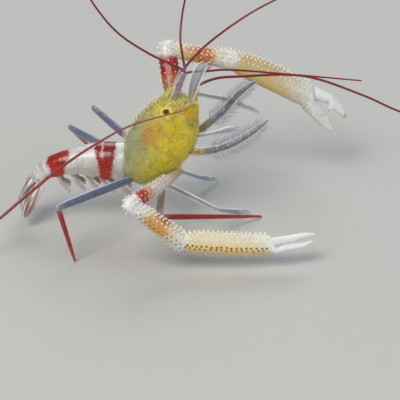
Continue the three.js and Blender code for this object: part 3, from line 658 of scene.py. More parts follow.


# ---- Antennules, antennal bases and scales
# The feelers' stalks are short jointed tubes of mauve-grey shell; the stout spiny bases of the long pair are
# yellow like the head. The scale beside each is a thin clear blade with a stiff outer edge, and white lines
# painted down its edges and middle rib as highlights.
STALK_ENDS = ((5.0, 1.25, 27.6), (7.0, 1.2, 33.2))
BASE_ENDS = ((7.8, 2.6, 23.4), (9.35, 3.7, 27.9))
SCALE_ROOT = (8.0, 2.1, 27.2)
SCALE_TIPS = {"left": (12.4, 2.4, 33.8), "right": (11.0, -2.0, 35.8)}
BASE_SPINES = 70
HEAD_DRAW = np.random.default_rng(41)


def joints_at(places, depth=0.12, width=0.012):
    """Rings pinched in where one segment hinges on the next."""
    return lambda share, turn: 1 - depth * sum(hump(share - place, width) for place in places)


def painted_edge_highlights(edge_reach, pigment, most, ridge=0.0, edges=(0.25, 0.75)):
    """Paints highlights: pale lines down a limb where its two thin edges, and its middle ridge if it has one,
    would catch the light. The lines reach so far to each side, as shares of the way round."""

    def marks(tree, spot, unwrap, colour):
        for middle, reach in [(edge, edge_reach) for edge in edges] + ([(0.5, ridge)] if ridge else []):
            far = add(tree, "Math", {0: unwrap["Y"], 1: middle}, operation="SUBTRACT")
            far = add(tree, "Math", {0: far}, operation="ABSOLUTE")
            colour = stain(tree, colour, far, reach, reach * 0.6, pigment, most)
        return colour

    return marks


def stalk_marks(tree, spot, unwrap, colour):
    """Maroon flecks of pigment under the shell, and pale lines where its edges gather the light."""
    flecks = add(tree, "TexNoise", {"Vector": spot, "Scale": 2.4, "Detail": 3.0})
    colour = stain(tree, colour, flecks, 0.5, 0.62, "74414c", 0.7)
    return painted_edge_highlights(0.12, "ece6ea", 0.8)(tree, spot, unwrap, colour)


# Mauve-grey chitin of the small head parts, glassy, with painted highlights along its edges.
stalk_chitin = shell_finish(
    "mauve_stalk_chitin", [(0.0, "c0b670"), (0.3, "bdb0b4"), (1.0, "af9ea9")], stalk_marks,
    mottle=(0.7, 0.3), rough=0.26, relief=(0.3, 0.02), glow=0.3, tip="efeaf0", sheer=0.75)
# Clear chitin of the antennal scales, with white painted highlights along the edges and the middle rib.
scale_chitin = shell_finish(
    "clear_scale_chitin", [(0.0, "b9b58c"), (0.3, "9c9ea8"), (1.0, "a9acb6")],
    painted_edge_highlights(0.12, "fbfcfd", 0.95, ridge=0.025), mottle=(1.2, 0.14), rough=0.22, relief=(0.4, 0.015),
    tip="e6e9ee", sheer=0.35)
for side, name in SIDES:
    root, tip = (mirrored(spot, side) for spot in STALK_ENDS)
    stalk = rod(smooth_line([root, root.lerp(tip, 0.5) + Vector((-0.1, 0, 0)), tip]),
                [1.7, 1.55, 1.45, 1.3, 1.05], [1.6, 1.45, 1.3, 1.15, 0.95], (0, 0, 1), caps=(0.04, 0.06),
                swell=joints_at([0.45, 0.72]))
    show(f"antennule_{name}_stalk", roll(stalk, 56, 28, lumps=0.05, lump_size=0.5), stalk_chitin,
         "feeler_stalk", f"antennule_{name}")
    fringe(f"antennule_{name}_setae", stalk, [0.2, 0.3, 0.5, 0.7, 0.8], 10, 0.5, 0.045, stalk_chitin,
           HEAD_DRAW, span=(0.3, 0.95))

    root, tip = (mirrored(spot, side) for spot in BASE_ENDS)
    base = rod(smooth_line([root, root.lerp(tip, 0.5), tip]), [2.5, 2.4, 2.1, 1.5, 0.9],
               [2.3, 2.1, 1.9, 1.4, 0.9], (0, 0, 1), caps=(0.05, 0.08),
               swell=joints_at([0.55, 0.78], 0.1, 0.02))
    show(f"antenna_{name}_base", roll(base, 48, 32, lumps=0.08, lump_size=0.7), carapace_chitin,
         "feeler_stalk", f"antenna_{name}")
    share = HEAD_DRAW.uniform(0.3, 0.9, BASE_SPINES)
    turn = HEAD_DRAW.uniform(0, math.tau, BASE_SPINES)
    plant(f"antenna_{name}_spines", thorn, base, share, turn, HEAD_DRAW.uniform(0.3, 0.7, BASE_SPINES), 0.16,
          carapace_chitin, lean=0.8, tuck=0.08)

    root, tip = mirrored(SCALE_ROOT, side), Vector(SCALE_TIPS[name])
    scale = rod(smooth_line([root, root.lerp(tip, 0.6) + Vector((-0.5, side * 0.15, 0.2)), tip]),
                [1.0, 1.8, 2.2, 2.3, 1.3], [0.6, 0.45, 0.34, 0.26, 0.16], (1, side * 0.4, 0),
                caps=(0.05, 0.1), swell=ribs)
    show(f"antenna_scale_{name}_blade", roll(scale, 64, 40), scale_chitin, "feeler_stalk",
         f"antenna_scale_{name}")
    fringe(f"antenna_scale_{name}_setae", scale, [0.25], 34, 0.8, 0.04, scale_chitin,
           HEAD_DRAW, span=(0.25, 0.98))


# ---- Whips
# The long feelers: six tapering crimson lashes of some hundred short rings each, limp enough to sweep
# round but stiff at the root. They grow from the tips of the stalks and of the antennal bases.
WHIPS = {
    "antennule_whip_right_outer": [(7.0, -1.3, 33.4), (0.0, -2.2, 37.7), (-6.0, -3.2, 42.7),
                                   (-11.3, -4.5, 51.0), (-14.0, -5.5, 58.0)],
    "antennule_whip_right_inner": [(7.7, -0.9, 33.0), (11.5, -0.6, 33.2), (15.0, 0, 33.2), (26.8, 0.6, 32.0),
                                   (41.5, 1.0, 30.4)],
    "antennule_whip_left_outer": [(6.9, 1.6, 33.5), (6.2, 4.0, 37.8), (6.5, 7.0, 41.4), (7.3, 10.5, 44.5),
                                  (9.5, 16.0, 51.5)],
    "antennule_whip_left_inner": [(7.3, 1.0, 33.5), (11.1, 2.0, 37.4), (19.2, 3.0, 43.4), (26.0, 4.0, 46.9),
                                  (34.0, 5.5, 50.2)],
    "antenna_whip_left": [(9.5, 3.9, 27.9), (13.0, 4.4, 29.3), (18.0, 4.8, 29.6), (30.4, 6.5, 28.9),
                          (42.2, 8.5, 23.9), (50.3, 10.5, 19.2), (62.0, 14.5, 13.5)],
    "antenna_whip_right": [(9.0, -4.3, 27.8), (6.8, -5.6, 27.2), (-3.3, -7.4, 24.8), (-10.2, -8.8, 21.4),
                           (-17.0, -10.2, 17.0), (-24.2, -12.6, 11.6), (-30.5, -15.6, 7.4),
                           (-40.0, -20.5, 5.2), (-48.0, -23.5, 6.6)],
}
ANTENNULE_WHIP_WIDTHS = [0.52, 0.45, 0.4, 0.36, 0.28]
ANTENNA_WHIP_WIDTHS = {
    "antenna_whip_left": [0.56, 0.52, 0.48, 0.42, 0.32],
    "antenna_whip_right": [0.32, 0.36, 0.46, 0.56, 0.56, 0.5, 0.42],
}
HOOP_WAVE = 360.0  # how many radians of wave run down a lash, which makes 57 hoops


def whip_marks(tree, spot, unwrap, colour):
    """Darker hoops at each ring of the lash, drawn 1 mm apart because the real third of that is too fine."""
    rings = add(tree, "Math", {0: unwrap["X"], 1: HOOP_WAVE}, operation="MULTIPLY")
    rings = add(tree, "Math", {0: rings}, operation="SINE")
    return stain(tree, colour, rings, 0.3, 1.0, "4c0810", 0.45)


# Horny crimson lash, paler and mauve where it leaves the stalk. The right antenna's starts thin and amber
# over the yellow head, and reddens as it sweeps back.
LASH_COLOURS = {
    "crimson_lash": [(0.0, "86636c"), (0.06, "7a1c28"), (0.25, "7c0c18"), (1.0, "8e1622")],
    "amber_lash": [(0.0, "b88c3c"), (0.12, "a35c20"), (0.26, "9a2a1e"), (0.6, "920f18"), (1.0, "8e3a50")],
}
crimson_lash, amber_lash = (
    shell_finish(name, along, whip_marks, mottle=(2.0, 0.2), rough=0.34, relief=(0.3, 0.02), glow=0.05)
    for name, along in LASH_COLOURS.items()
)
for name, route in WHIPS.items():
    widths = ANTENNA_WHIP_WIDTHS.get(name, ANTENNULE_WHIP_WIDTHS)
    start = (6.95, 1.2, 32.7) if "antennule" in name else (9.3, 3.7, 27.5)
    whip = rod(smooth_line([mirrored(start, -1 if "right" in name else 1), *route]), widths, widths,
               (0.1, 0.9, 0.4), caps=(0.004, 0.006))
    show(f"{name}_lash", roll(whip, 260, 10), amber_lash if name == "antenna_whip_right" else crimson_lash,
         "feeler", name)


# ---- Third maxillipeds
# The outer pair of mouth limbs, like short legs folded forward under the face: flat violet-grey joints
# with a dense comb of grooming hairs down both edges.
MAXILLIPEDS = {
    "right": [(7.0, -1.9, 16.6), (11.6, -3.6, 17.4), (15.4, -4.4, 18.9), (19.5, -4.1, 21.2),
              (23.2, -3.4, 24.0)],
    "left": [(8.4, 1.9, 17.6), (12.0, 3.2, 20.4), (15.1, 4.2, 22.8), (18.2, 4.6, 26.4), (21.2, 5.2, 28.5)],
}
FACING = Vector((0, 0.469, 0.883))  # up across a limb's broad side, which is tipped 28 degrees off upright
MOUTH_DRAW = np.random.default_rng(53)
# Violet-grey chitin of the mouth limbs, cloudy, with painted highlights along its edges.
mouth_chitin = shell_finish(
    "violet_grey_mouth_chitin", [(0.0, "b9ae34"), (0.2, "a9a56c"), (0.32, "7e808c"), (1.0, "828290")],
    painted_edge_highlights(0.15, "eceef2", 0.85), mottle=(0.4, 0.6), rough=0.28, relief=(0.25, 0.03), tip="6c6a75",
    sheer=0.8)
for name, route in MAXILLIPEDS.items():
    limb = rod(smooth_line(route), [1.6, 1.75, 1.75, 1.65, 1.55, 1.3, 0.65],
               [1.1, 1.05, 1.0, 0.95, 0.85, 0.65, 0.4], FACING, caps=(0.03, 0.05),
               swell=joints_at([0.4, 0.68, 0.86], 0.16, 0.014))
    show(f"maxilliped_{name}_limb", roll(limb, 110, 32, lumps=0.06, lump_size=0.6), mouth_chitin,
         "mouth_limb", f"maxilliped_{name}")
    fringe(f"maxilliped_{name}_setae", limb, [0.22, 0.28, 0.72, 0.78], 52, 2.0, 0.1, mouth_chitin,
           MOUTH_DRAW, lean=0.55, span=(0.3, 0.985))


# ---- First and second legs
# Two pairs of thread-thin glassy legs with tiny pincers, which pick at food and at fishes' skins. Clear shell
# over pale muscle: a blue-grey core, with white edges painted on as highlights.
THIN_LEGS = {
    "right_1": [(6.5, -1.0, 18.9), (13.2, -2.0, 20.6), (15.6, -0.6, 20.6), (18.2, 0.6, 20.2)],
    "left_1": [(5.6, 2.2, 12.6), (6.2, 8.6, 6.6), (9.8, 12.2, 3.4), (13.9, 16.9, 0.3)],
    "right_2": [(2.2, -2.2, 10.0), (13.5, -5.0, 5.15), (16.2, -1.9, 3.1), (20.2, 2.6, 0.28)],
    "left_2": [(6.6, 2.0, 15.6), (9.0, 9.0, 24.0), (16.2, 10.0, 22.0), (22.1, 11.0, 18.5)],
}
THIN_WIDTHS = [1.05, 1.1, 1.08, 1.05, 0.98, 0.9, 0.95, 1.25, 1.45, 0.9, 0.35]
THIN_DEPTHS = [0.72, 0.7, 0.68, 0.66, 0.64, 0.6, 0.6, 0.66, 0.7, 0.4, 0.22]
CORNER_CUT = 0.6  # how far from a joint its corner is cut off
PINCER_SHARES = [0.86, 0.93, 0.995]  # where the two fingers part, their middle and their tips, along the leg
PINCER_LIFTS = [0.272, 0.425, 0.238]  # how far the moving finger stands off there


def bent_line(joints):
    """A limb's line: straight between its joints, with each corner cut off."""
    joints = [Vector(joint) for joint in joints]
    dots = [joints[0]]
    for before, corner, after in zip(joints, joints[1:], joints[2:]):
        dots += [corner.lerp(spot, CORNER_CUT / (spot - corner).length) for spot in (before, after)]
    return read_along(np.array([*dots, joints[-1]]))


def joint_shares(joints):
    """How far along a limb each of its inner joints lies."""
    way = np.cumsum([(Vector(b) - Vector(a)).length for a, b in zip(joints, joints[1:])])
    return [float(place) for place in way[:-1] / way[-1]]


# Glass-clear chitin with white painted highlights down its edges.
glass_chitin = shell_finish(
    "glass_clear_chitin", [(0.0, "cbc397"), (0.12, "96a4b0"), (0.8, "a2b1bc"), (1.0, "d8e2e8")],
    painted_edge_highlights(0.17, "fdfeff", 1.0), mottle=(0.8, 0.12), rough=0.18, relief=(0.3, 0.015), wet=0.6, sheer=0.8)
for name, joints in THIN_LEGS.items():
    line = bent_line(joints)
    leg = rod(line, THIN_WIDTHS, THIN_DEPTHS, FACING, caps=(0.02, 0.02),
              swell=joints_at(joint_shares(joints), 0.12, 0.008))
    # The moving finger of the pincer lies beside the fixed one with a hair's gap between them.
    finger_line = smooth_line([Vector(spot) + FACING * lift
                               for spot, lift in zip(line(np.array(PINCER_SHARES)), PINCER_LIFTS)])
    finger = rod(finger_line, [0.3, 0.36, 0.3, 0.14], [0.4, 0.36, 0.28, 0.14], FACING, caps=(0.1, 0.1))
    body = roll(leg, 130, 20)
    join(body, roll(finger, 24, 12))
    show(f"leg_{name}_thin", body, glass_chitin, "leg_clear", f"leg_{name}")


# ---- Third legs: the long arms and their claws
# Each arm is three hinged tubes of thick white shell, set with rows of thorns, that end in a claw: a long
# palm with one finger grown from it and one hinged above. Bands and patches of orange-red mark the joints.
ARM_FLATNESS, BALL_FLATNESS = 0.8, 0.92  # a tube's depth and its end joint's, as shares of their widths
PALM_END = -0.6  # where the palm ends and the hinged finger starts, past the knuckle
# Claw stations run from the root on: the place of the top edge, along and up, the same of the bottom edge,
# and the depth. A palm's along is a share of its length, and a finger's is millimetres past the knuckle.
ARMS = {
    "right": {
        "joints": [(6.4, -2.6, 12.6), (-3.15, -22, 15.3), (6.2, -20, 6.5), (24, -19, 5)],
        "broad": FACING, "dots": 1.0, "beads": 1.3,
        "merus": [1.1, 2.1, 2.6, 2.9, 3.0], "carpus": [2.5, 3.3, 3.6, 3.9, 3.9],
        "palm": [(0, 1.4, 0, -1.4, 2.9), (0.14, 1.9, 0.14, -2.0, 3.4), (0.4, 1.98, 0.4, -2.15, 3.6),
                 (0.75, 1.95, 0.75, -2.1, 3.5), (1, 1.7, 1, -1.65, 3.0)],
        "dactyl": [(-1.5, 1.2, -1.5, -0.1, 1.9), (-0.4, 1.45, -0.4, -0.35, 2.3), (1.2, 1.75, 1.2, 0.1, 2.3),
                   (3.1, 2.1, 3.1, 0.58, 2.1), (4.6, 2.44, 4.4, 0.92, 1.8), (6.3, 2.72, 6.1, 1.6, 1.3),
                   (8.15, 2.62, 8.1, 2.2, 0.5)],
        "fixed": [(0.6, -0.4, 0.3, -1.65, 2.6), (1.6, 0.04, 2.0, -1.25, 2.3), (3.1, 0.42, 3.4, -0.95, 2.0),
                  (4.3, 0.6, 4.7, -0.65, 1.7), (5.9, 0.86, 6.3, 0.04, 1.2), (7.75, 1.4, 7.75, 1.05, 0.5)],
    },
    "left": {
        "joints": [(6.4, 2.6, 13.2), (3.3, 18, 29.6), (16.4, 17, 27.7), (33, 20, 18.5)],
        "broad": (-1, 0, 0), "dots": 0.35, "beads": 1.2,
        "merus": [1.9, 2.7, 3.2, 3.7, 3.9], "carpus": [2.9, 3.1, 3.2, 3.8, 3.8],
        "palm": [(0, 1.7, 0, -1.7, 3.0), (0.14, 2.4, 0.14, -2.3, 3.5), (0.4, 2.68, 0.4, -2.52, 3.8),
                 (0.75, 2.5, 0.75, -2.8, 3.8), (1, 2.1, 1, -3.1, 3.3)],
        "dactyl": [(-1.5, 1.7, -1.5, -0.3, 2.1), (-0.4, 1.95, -0.4, -0.65, 2.5), (1, 1.95, 0.9, -0.75, 2.7),
                   (2.9, 1.86, 2.7, -0.55, 2.5), (4.3, 1.68, 3.9, -0.35, 2.3), (5.3, 1.42, 4.55, -1.6, 2.0),
                   (6.6, 0.85, 5.9, -1.2, 1.6), (8, -0.1, 7.4, -1.45, 1.1), (8.95, -1.25, 8.7, -1.7, 0.5)],
        "fixed": [(0.9, -0.95, -0.8, -3.36, 3.0), (2.4, -1.25, 0.9, -4.0, 2.7), (3.65, -1.7, 2.0, -4.4, 2.4),
                  (3.2, -2.75, 2.9, -4.75, 2.2), (4.95, -2.6, 4.0, -5.1, 1.9), (5.7, -3.5, 5.2, -5.4, 1.4),
                  (7.45, -4.9, 7.3, -5.3, 0.5)],
    },
}
ARM_DRAW = np.random.default_rng(67)
EDGES = (0.25, 0.75)  # the rows along a segment's upper and lower edge, whose thorns stay slender
ALL_ROUND = 9.0  # a patch's reach round its segment, where it makes a full band
# Rows of thorns: the place round the segment, how many, their height, their width, and how brown they are.
MERUS_ROWS = [(0.25, 14, 0.62, 0.52, 0.0), (0.75, 13, 0.58, 0.52, 0.0)]
MERUS_ROWS += [(around, 9, 0.24, 0.34, 0.0) for around in (0.4, 0.5, 0.6, 0.1, 0.0, 0.9)]
KNEE_THORNS = [(around, 3, 0.5, 0.36, 0.0) for around in np.arange(0.04, 1, 0.0909)]
CARPUS_ROWS = [(0.25, 14, 0.6, 0.62, 0.0), (0.75, 12, 0.5, 0.5, 0.25), (0.33, 13, 0.36, 0.58, 0.0),
               (0.41, 13, 0.4, 0.54, 0.0), (0.49, 12, 0.34, 0.5, 0.0), (0.57, 11, 0.26, 0.48, 0.7),
               (0.63, 11, 0.24, 0.44, 0.9), (0.17, 13, 0.36, 0.58, 0.0), (0.09, 13, 0.34, 0.54, 0.0),
               (0.01, 12, 0.34, 0.5, 0.0), (0.93, 11, 0.26, 0.48, 0.7)]
PALM_ROWS = [(0.25, 18, 0.56, 0.64, 0.0), (0.75, 17, 0.34, 0.46, 0.2), (0.335, 17, 0.32, 0.58, 0.0),
             (0.405, 17, 0.3, 0.54, 0.0), (0.48, 16, 0.28, 0.5, 0.0), (0.56, 17, 0.22, 0.46, 1.0),
             (0.61, 16, 0.22, 0.44, 1.0), (0.165, 17, 0.32, 0.58, 0.0), (0.095, 17, 0.3, 0.54, 0.0),
             (0.02, 16, 0.3, 0.5, 0.0), (0.94, 17, 0.22, 0.46, 1.0), (0.89, 16, 0.22, 0.44, 1.0)]


def between(top, bottom, depths, across, caps):
    """The surface between a top and a bottom line, as wide across as depths says."""
    upper, lower = smooth_line(top, False), smooth_line(bottom, False)
    across = np.array(across)

    def place(share, turn):
        high, low = upper(share), lower(share)
        full = fullness(share, caps)
        aside, up = section(turn, 2.3)
        spot = (high + low) / 2 + (high - low) / 2 * (full * up)[:, None]
        return spot - across * (full * aside * stops(depths, share) / 2)[:, None]

    return place


def claw_edge(stations, first, start, along, up, scale=1.0):
    """A claw's top edge, where first is 0, or its bottom edge, where it is 2, from station to station."""
    return [start + along * station[first] * scale + up * station[first + 1] for station in stations]


def thorn_rows(name, place, rows, span, finish, arm, spread=None):
    """Rows of blunt thorns down a segment, leaning forward, with every other row set half a step on. The arm
    scales their widths, save along the edges, and how brown they are. spread pairs places along the segment
    with shares of its unwrap, where the two run unevenly."""
    shares, turns, heights, widths, tones = [], [], [], [], []
    for order, (around, count, height, width, tone) in enumerate(rows):
        steps = (np.arange(count) + (0.5 if order % 2 else 0.0)) / count
        steps = span[0] + (span[1] - span[0]) * steps + ARM_DRAW.uniform(-0.004, 0.004, count)
        shares.append(np.interp(steps, *spread) if spread else steps)
        turns.append(around * math.tau + ARM_DRAW.uniform(-0.05, 0.05, count))
        heights.append(height * ARM_DRAW.uniform(0.8, 1.15, count))
        widths.append(np.full(count, width * (1.0 if around in EDGES else arm["beads"])))
        tones.append(np.full(count, tone * arm["dots"]))
    shares, turns, heights, widths, tones = map(np.concatenate, (shares, turns, heights, widths, tones))
    plant(name, blunt, place, shares, turns, heights * 1.15, widths, finish, lean=0.4, bow=0.12,
          tone=tones)


def arm_marks(stains):
    """Orange and red patches, ragged at their edges. Each has its middle and half length along the segment,
    its middle and reach round it, its pigment, how strong it is, and how ragged."""

    def marks(tree, spot, unwrap, colour):
        tatters = add(tree, "TexNoise", {"Vector": spot, "Scale": 0.9, "Detail": 4.0, "Roughness": 0.6})
        tatters = add(tree, "Math", {0: tatters, 1: 0.5}, operation="SUBTRACT")
        flecks = add(tree, "TexVoronoi", {"Vector": spot, "Scale": 1.6})
        flecks = add(tree, "MapRange", {"Value": flecks, "From Min": 0.18, "From Max": 0.3, "To Min": 0.6})
        for middle, half, around, reach, pigment, most, ragged in stains:
            far = add(tree, "Math", {0: unwrap["X"], 1: middle}, operation="SUBTRACT")
            far = add(tree, "Math", {0: far, 1: 1 / half}, operation="MULTIPLY")
            off = add(tree, "Math", {0: unwrap["Y"], 1: around}, operation="SUBTRACT")
            off = add(tree, "Math", {0: off, 1: 1 / reach}, operation="MULTIPLY")
            far = add(tree, "Math", {0: far, 1: far}, operation="MULTIPLY")
            off = add(tree, "Math", {0: off, 1: off, 2: far}, operation="MULTIPLY_ADD")
            far = add(tree, "Math", {0: tatters, 1: ragged, 2: off}, operation="MULTIPLY_ADD")
            colour = stain(tree, colour, far, 1.5, 0.3, pigment, most, flecks, soft=True)
        return colour

    return marks


# Thick white shell, waxy and warm, with its own blotches of orange-red at each joint. Each segment has its
# colours from root to tip, its patches, and how strongly it is mottled.
ARM_SHELLS = {
    "right_merus": ("near_arm_chitin",
                    [(0.0, "a8963e"), (0.13, "c0ab7c"), (0.28, "d8c6c0"), (0.6, "eae0da"), (0.86, "f2f0ec"),
                     (1.0, "f6f8f7")],
                    [(0.69, 0.095, 0.5, ALL_ROUND, "e08424", 0.75, 2.4),
                     (0.775, 0.08, 0.5, ALL_ROUND, "b01802", 1.0, 1.8)], 0.22),
    "right_carpus": ("near_wrist_chitin",
                     [(0.0, "f0f3f3"), (0.2, "e8e4d8"), (0.4, "e4d2a6"), (0.62, "e2d4b0"), (0.8, "e2e0d4"),
                      (1.0, "eff0ed")],
                     [(0.43, 0.2, 0.55, 0.16, "dc9a30", 0.9, 1.6),
                      (0.5, 0.14, 0.36, 0.1, "c46c04", 0.95, 1.6)], 0.16),
    "right_palm": ("near_palm_chitin",
                   [(0.0, "eceadf"), (0.06, "eadfbe"), (0.27, "ece0bc"), (0.36, "eeead8"), (0.44, "f2f6f5"),
                    (1.0, "f4f9f8")],
                   [(0.19, 0.24, 0.68, 0.17, "efcf86", 0.95, 0.7)], 0.12),
    "left_merus": ("far_arm_chitin",
                   [(0.0, "b0a04c"), (0.45, "bfa862"), (0.6, "b07c30"), (0.7, "b44c10"), (0.85, "e4e1da"),
                    (1.0, "eef1f2")],
                   [(0.77, 0.08, 0.5, ALL_ROUND, "9c0c02", 1.0, 1.4)], 0.22),
    "left_carpus": ("far_wrist_chitin",
                    [(0.0, "e9ecea"), (0.16, "dfd0ae"), (0.5, "d9b680"), (0.72, "e2dccc"), (1.0, "eef0ee")],
                    [(0.46, 0.2, 0.5, ALL_ROUND, "cf8c2c", 0.75, 2.0),
                     (0.5, 0.12, 0.48, 0.3, "b85a00", 0.85, 2.0)], 0.18),
    "left_palm": ("far_palm_chitin",
                  [(0.0, "e4e2d6"), (0.06, "d2b880"), (0.2, "d4ba84"), (0.28, "ddd5bc"), (0.35, "e6e8e0"),
                   (1.0, "eceee9")],
                  [(0.15, 0.13, 0.66, 0.13, "dcc25c", 0.7, 1.2)], 0.18),
}
arm_finishes = {
    segment: shell_finish(chitin, along, arm_marks(stains), mottle=(0.8, blotch))
    for segment, (chitin, along, stains, blotch) in ARM_SHELLS.items()
}
# Smooth ivory-white biting fingers, glossy where they have worn; the far one is browned at its tip.
finger_finishes = {
    name: shell_finish(f"{shade}_finger_chitin",
                       [(0.0, "ebeeeb"), (0.5, "f0f5f5"), (0.9, "eeeee6"), (1.0, tip)],
                       mottle=(1.2, 0.06), rough=0.22, relief=(0.5, 0.02), wet=0.5)
    for name, shade, tip in (("right", "ivory", "eeece4"), ("left", "brown_tipped", "95602f"))
}

blunt = sprout(6, 3, 0.55)
for name, arm in ARMS.items():
    hip, elbow, wrist, knuckle = (Vector(joint) for joint in arm["joints"])

    # Merus and carpus: flattened tubes that each end in a round joint, over the start of the next.
    for part, start, end, broad, rows, span in (
        ("merus", hip, elbow, arm["broad"], MERUS_ROWS, (0.3, 0.9)),
        ("carpus", elbow, wrist, FACING, CARPUS_ROWS, (0.12, 0.95)),
    ):
        segment, finish, widths = f"arm_{name}_{part}", arm_finishes[f"{name}_{part}"], arm[part]
        ball = widths[-1] / 2
        reach = (end - start).length
        depths = [width * ARM_FLATNESS for width in widths[:-1]] + [widths[-1] * BALL_FLATNESS]
        tube = rod(smooth_line([start, start.lerp(end, 0.5), start.lerp(end, 1 + ball / reach)]), widths,
                   depths, broad, caps=(0.03, ball / (reach + ball)), box=2.2)
        show(f"{segment}_shell", roll(tube, 110, 56, lumps=0.1, lump_size=1.3), finish, "claw_shell", segment)
        thorn_rows(f"{segment}_thorns", tube, rows, span, finish, arm)
        if part == "merus":
            thorn_rows(f"arm_{name}_knee_thorns", tube, KNEE_THORNS, (0.86, 0.99), finish, arm)

    # Palm and fixed finger in one, then the hinged finger, whose root is tucked under the palm's edge.
    finish = arm_finishes[f"{name}_palm"]
    along = (knuckle - wrist).normalized()
    across = along.cross(FACING).normalized()
    up = across.cross(along).normalized()
    palm_reach = (knuckle - wrist).length + PALM_END
    top, bottom = (claw_edge(arm["palm"], first, wrist, along, up, palm_reach)
                   + claw_edge(arm["fixed"], first, knuckle, along, up) for first in (0, 2))
    depths = [station[4] for station in arm["palm"] + arm["fixed"]]
    palm = between(top, bottom, depths, across, caps=(0.04, 0.03))
    show(f"arm_{name}_palm_shell", roll(palm, 200, 64, lumps=0.035, lump_size=1.2), finish, "claw_shell",
         f"arm_{name}_palm")
    palm_places = [station[0] for station in arm["palm"]]
    palm_shares = np.arange(len(palm_places)) / (len(depths) - 1)
    thorn_rows(f"arm_{name}_palm_thorns", palm, PALM_ROWS, (0.05, 0.97), finish, arm,
               spread=(palm_places, palm_shares))
    top, bottom = (claw_edge(arm["dactyl"], first, knuckle, along, up) for first in (0, 2))
    dactyl = between(top, bottom, [station[4] for station in arm["dactyl"]], across, caps=(0.06, 0.03))
    show(f"arm_{name}_finger_shell", roll(dactyl, 120, 40, lumps=0.02), finger_finishes[name],
         "finger_shell", f"arm_{name}_finger")


# ---- Fourth and fifth legs
# The two hind pairs, which carry the animal: a long flat upper part of slate-blue glassy shell with pale
# edges painted on as highlights and a pink knee, and a thin dark red lower part of many short joints that
# ends in a claw.
WALKING_LEGS = {
    "right_4": ((2.6, -2.6, 10.6), (2.3, -16.0, 9.5), (22.5, 1.3, 0.25), (1, 0, 0)),
    "left_4": ((2.6, 2.6, 10.6), (-11.6, 15.0, 18.0), (-0.7, 27.9, 0.25), FACING),
    "right_5": ((-2.4, -2.4, 11.2), (-17.0, -18.0, 12.6), (-14.2, -16.9, 0.25), FACING),
    "left_5": ((-2.4, 2.4, 11.2), (-16.5, 15.0, 13.6), (-13.2, 31.7, 0.25), FACING),
}
THIGH_WIDTHS = [1.25, 1.5, 1.7, 1.72, 1.68, 1.55, 1.25]
THIGH_DEPTHS = [0.95, 0.95, 0.9, 0.88, 0.88, 0.92, 1.0]
SHIN_WIDTHS = [1.0, 1.1, 1.02, 0.95, 0.85, 0.7, 0.42]
SHIN_DEPTHS = [1.0, 1.0, 0.92, 0.85, 0.78, 0.65, 0.4]
KNEE_REACH, SHIN_START = 0.6, 0.35  # how far the thigh runs on past the knee, and where the shin starts
SHIN_JOINTS = [0.3, 0.47, 0.56, 0.65, 0.74, 0.82, 0.9]
# Slate-blue glassy chitin: pale lines painted down the edges and the middle ridge as highlights, pink over
# the knee.
slate_chitin = shell_finish(
    "slate_blue_leg_chitin", [(0.0, "8d8a5c"), (0.16, "6b7692"), (0.88, "75809c"), (0.95, "a08ca4"),
    (1.0, "c4a0b0")], painted_edge_highlights(0.13, "b6bed2", 0.9, ridge=0.03), mottle=(1.0, 0.25), rough=0.26,
    relief=(0.3, 0.03), wet=0.5, sheer=0.85)
# Painted light: the near fourth leg is given a pinkish grey copy of the slate-blue chitin, the look of a leg
# lit through, with pale edges painted as highlights.
lit_through_leg_chitin = shell_finish(
    "painted_lit_through_leg_chitin", [(0.0, "a39560"), (0.2, "a8988f"), (0.9, "ab9ca2"), (1.0, "c4a4a8")],
    painted_edge_highlights(0.13, "dfd8da", 0.8), mottle=(1.0, 0.25), rough=0.26, relief=(0.3, 0.03), wet=0.5, sheer=0.8)
# Dark red shin, horny and glossy, with lighter red lines painted down its edges as highlights.
shin_chitin = shell_finish(
    "dark_red_shin_chitin", [(0.0, "a8706c"), (0.08, "96241c"), (0.7, "ac1c0e"), (1.0, "b8421c")],
    painted_edge_highlights(0.07, "c2402c", 0.4, edges=(0.3, 0.7)), mottle=(1.2, 0.3), rough=0.3, relief=(0.3, 0.03),
    glow=0.1)
for name, (hip, knee, toe, broad) in WALKING_LEGS.items():
    hip, knee, toe = Vector(hip), Vector(knee), Vector(toe)
    thigh_end = knee + (knee - hip).normalized() * KNEE_REACH
    thigh = rod(smooth_line([hip, hip.lerp(knee, 0.5), thigh_end]), THIGH_WIDTHS, THIGH_DEPTHS, broad,
                caps=(0.03, 0.045), box=2.2)
    show(f"leg_{name}_thigh", roll(thigh, 90, 28, lumps=0.05),
         lit_through_leg_chitin if name == "right_4" else slate_chitin, "leg_upper", f"leg_{name}_upper")
    shin_root = knee + (toe - knee).normalized() * SHIN_START
    shin = rod(smooth_line([shin_root, knee.lerp(toe, 0.5), toe]), SHIN_WIDTHS, SHIN_DEPTHS, FACING,
               caps=(0.03, 0.015), swell=joints_at(SHIN_JOINTS, 0.07, 0.006))
    show(f"leg_{name}_shin", roll(shin, 150, 18), shin_chitin, "leg_lower", f"leg_{name}_lower")


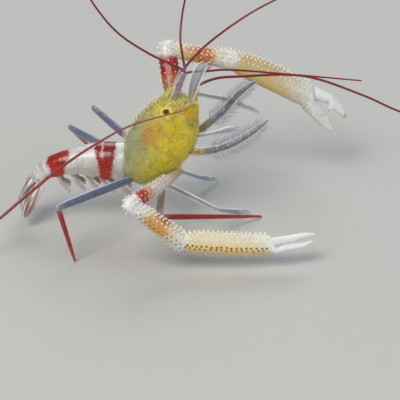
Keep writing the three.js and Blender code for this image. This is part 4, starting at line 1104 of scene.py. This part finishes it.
# ---- Studio
# A pale plain floor that the toes stand on, three soft lights and a pale room round them, and the camera
# looking down on the animal's right side from a little above.
LOOK_AT = (Vector((10.0, 0, 4.674)) + BODY_ZERO) * 0.001
LIT_SPOT = Vector((0, 0, 0.015))  # what the lights are turned to
CAMERA_LIFT = math.radians(28)
CAMERA_FAR = 0.4
floor = bmesh.new()
bmesh.ops.create_grid(floor, x_segments=1, y_segments=1, size=1.5)
floor_mesh = bpy.data.meshes.new("floor")
floor.to_mesh(floor_mesh)
floor.free()
# Matt emulsion: soft pale grey with no shine of its own.
floor_paint = bpy.data.materials.new("matt_floor_paint")
floor_paint.use_nodes = True
floor_shader = floor_paint.node_tree.nodes["Principled BSDF"]
floor_shader.inputs["Base Color"].default_value = paint("c6c7c4")
floor_shader.inputs["Roughness"].default_value = 0.85
floor_mesh.materials.append(floor_paint)
stage_floor = bpy.data.objects.new("floor", floor_mesh)
bpy.context.scene.collection.objects.link(stage_floor)

for name, place, size, power, tint in (
    ("key_light", (-0.25, -0.4, 0.6), 0.35, 3.4, "fff8ee"),
    ("fill_light", (0.5, -0.35, 0.3), 0.5, 1.0, "eef3ff"),
    ("rim_light", (0.1, 0.5, 0.45), 0.4, 1.6, "f3f6ff"),
):
    light = bpy.data.lights.new(name, "AREA")
    light.size = size
    light.energy = power
    light.color = paint(tint)[:3]
    lamp = bpy.data.objects.new(name, light)
    lamp.location = place
    lamp.rotation_euler = (LIT_SPOT - Vector(place)).to_track_quat("-Z", "Y").to_euler()
    bpy.context.scene.collection.objects.link(lamp)

room = bpy.data.worlds.new("pale_room")
room.use_nodes = True
room.node_tree.nodes["Background"].inputs["Color"].default_value = paint("dfe3e8")
room.node_tree.nodes["Background"].inputs["Strength"].default_value = 0.32
bpy.context.scene.world = room
bpy.context.scene.view_settings.view_transform = "Standard"

camera = bpy.data.cameras.new("camera")
camera.lens, camera.sensor_width = 180.0, 36.0
camera.clip_start, camera.clip_end = 0.01, 10.0
view_point = bpy.data.objects.new("camera", camera)
view_point.location = LOOK_AT + Vector((0, -math.cos(CAMERA_LIFT), math.sin(CAMERA_LIFT))) * CAMERA_FAR
view_point.rotation_euler = (math.pi / 2 - CAMERA_LIFT, 0, 0)
bpy.context.scene.collection.objects.link(view_point)
bpy.context.scene.camera = view_point
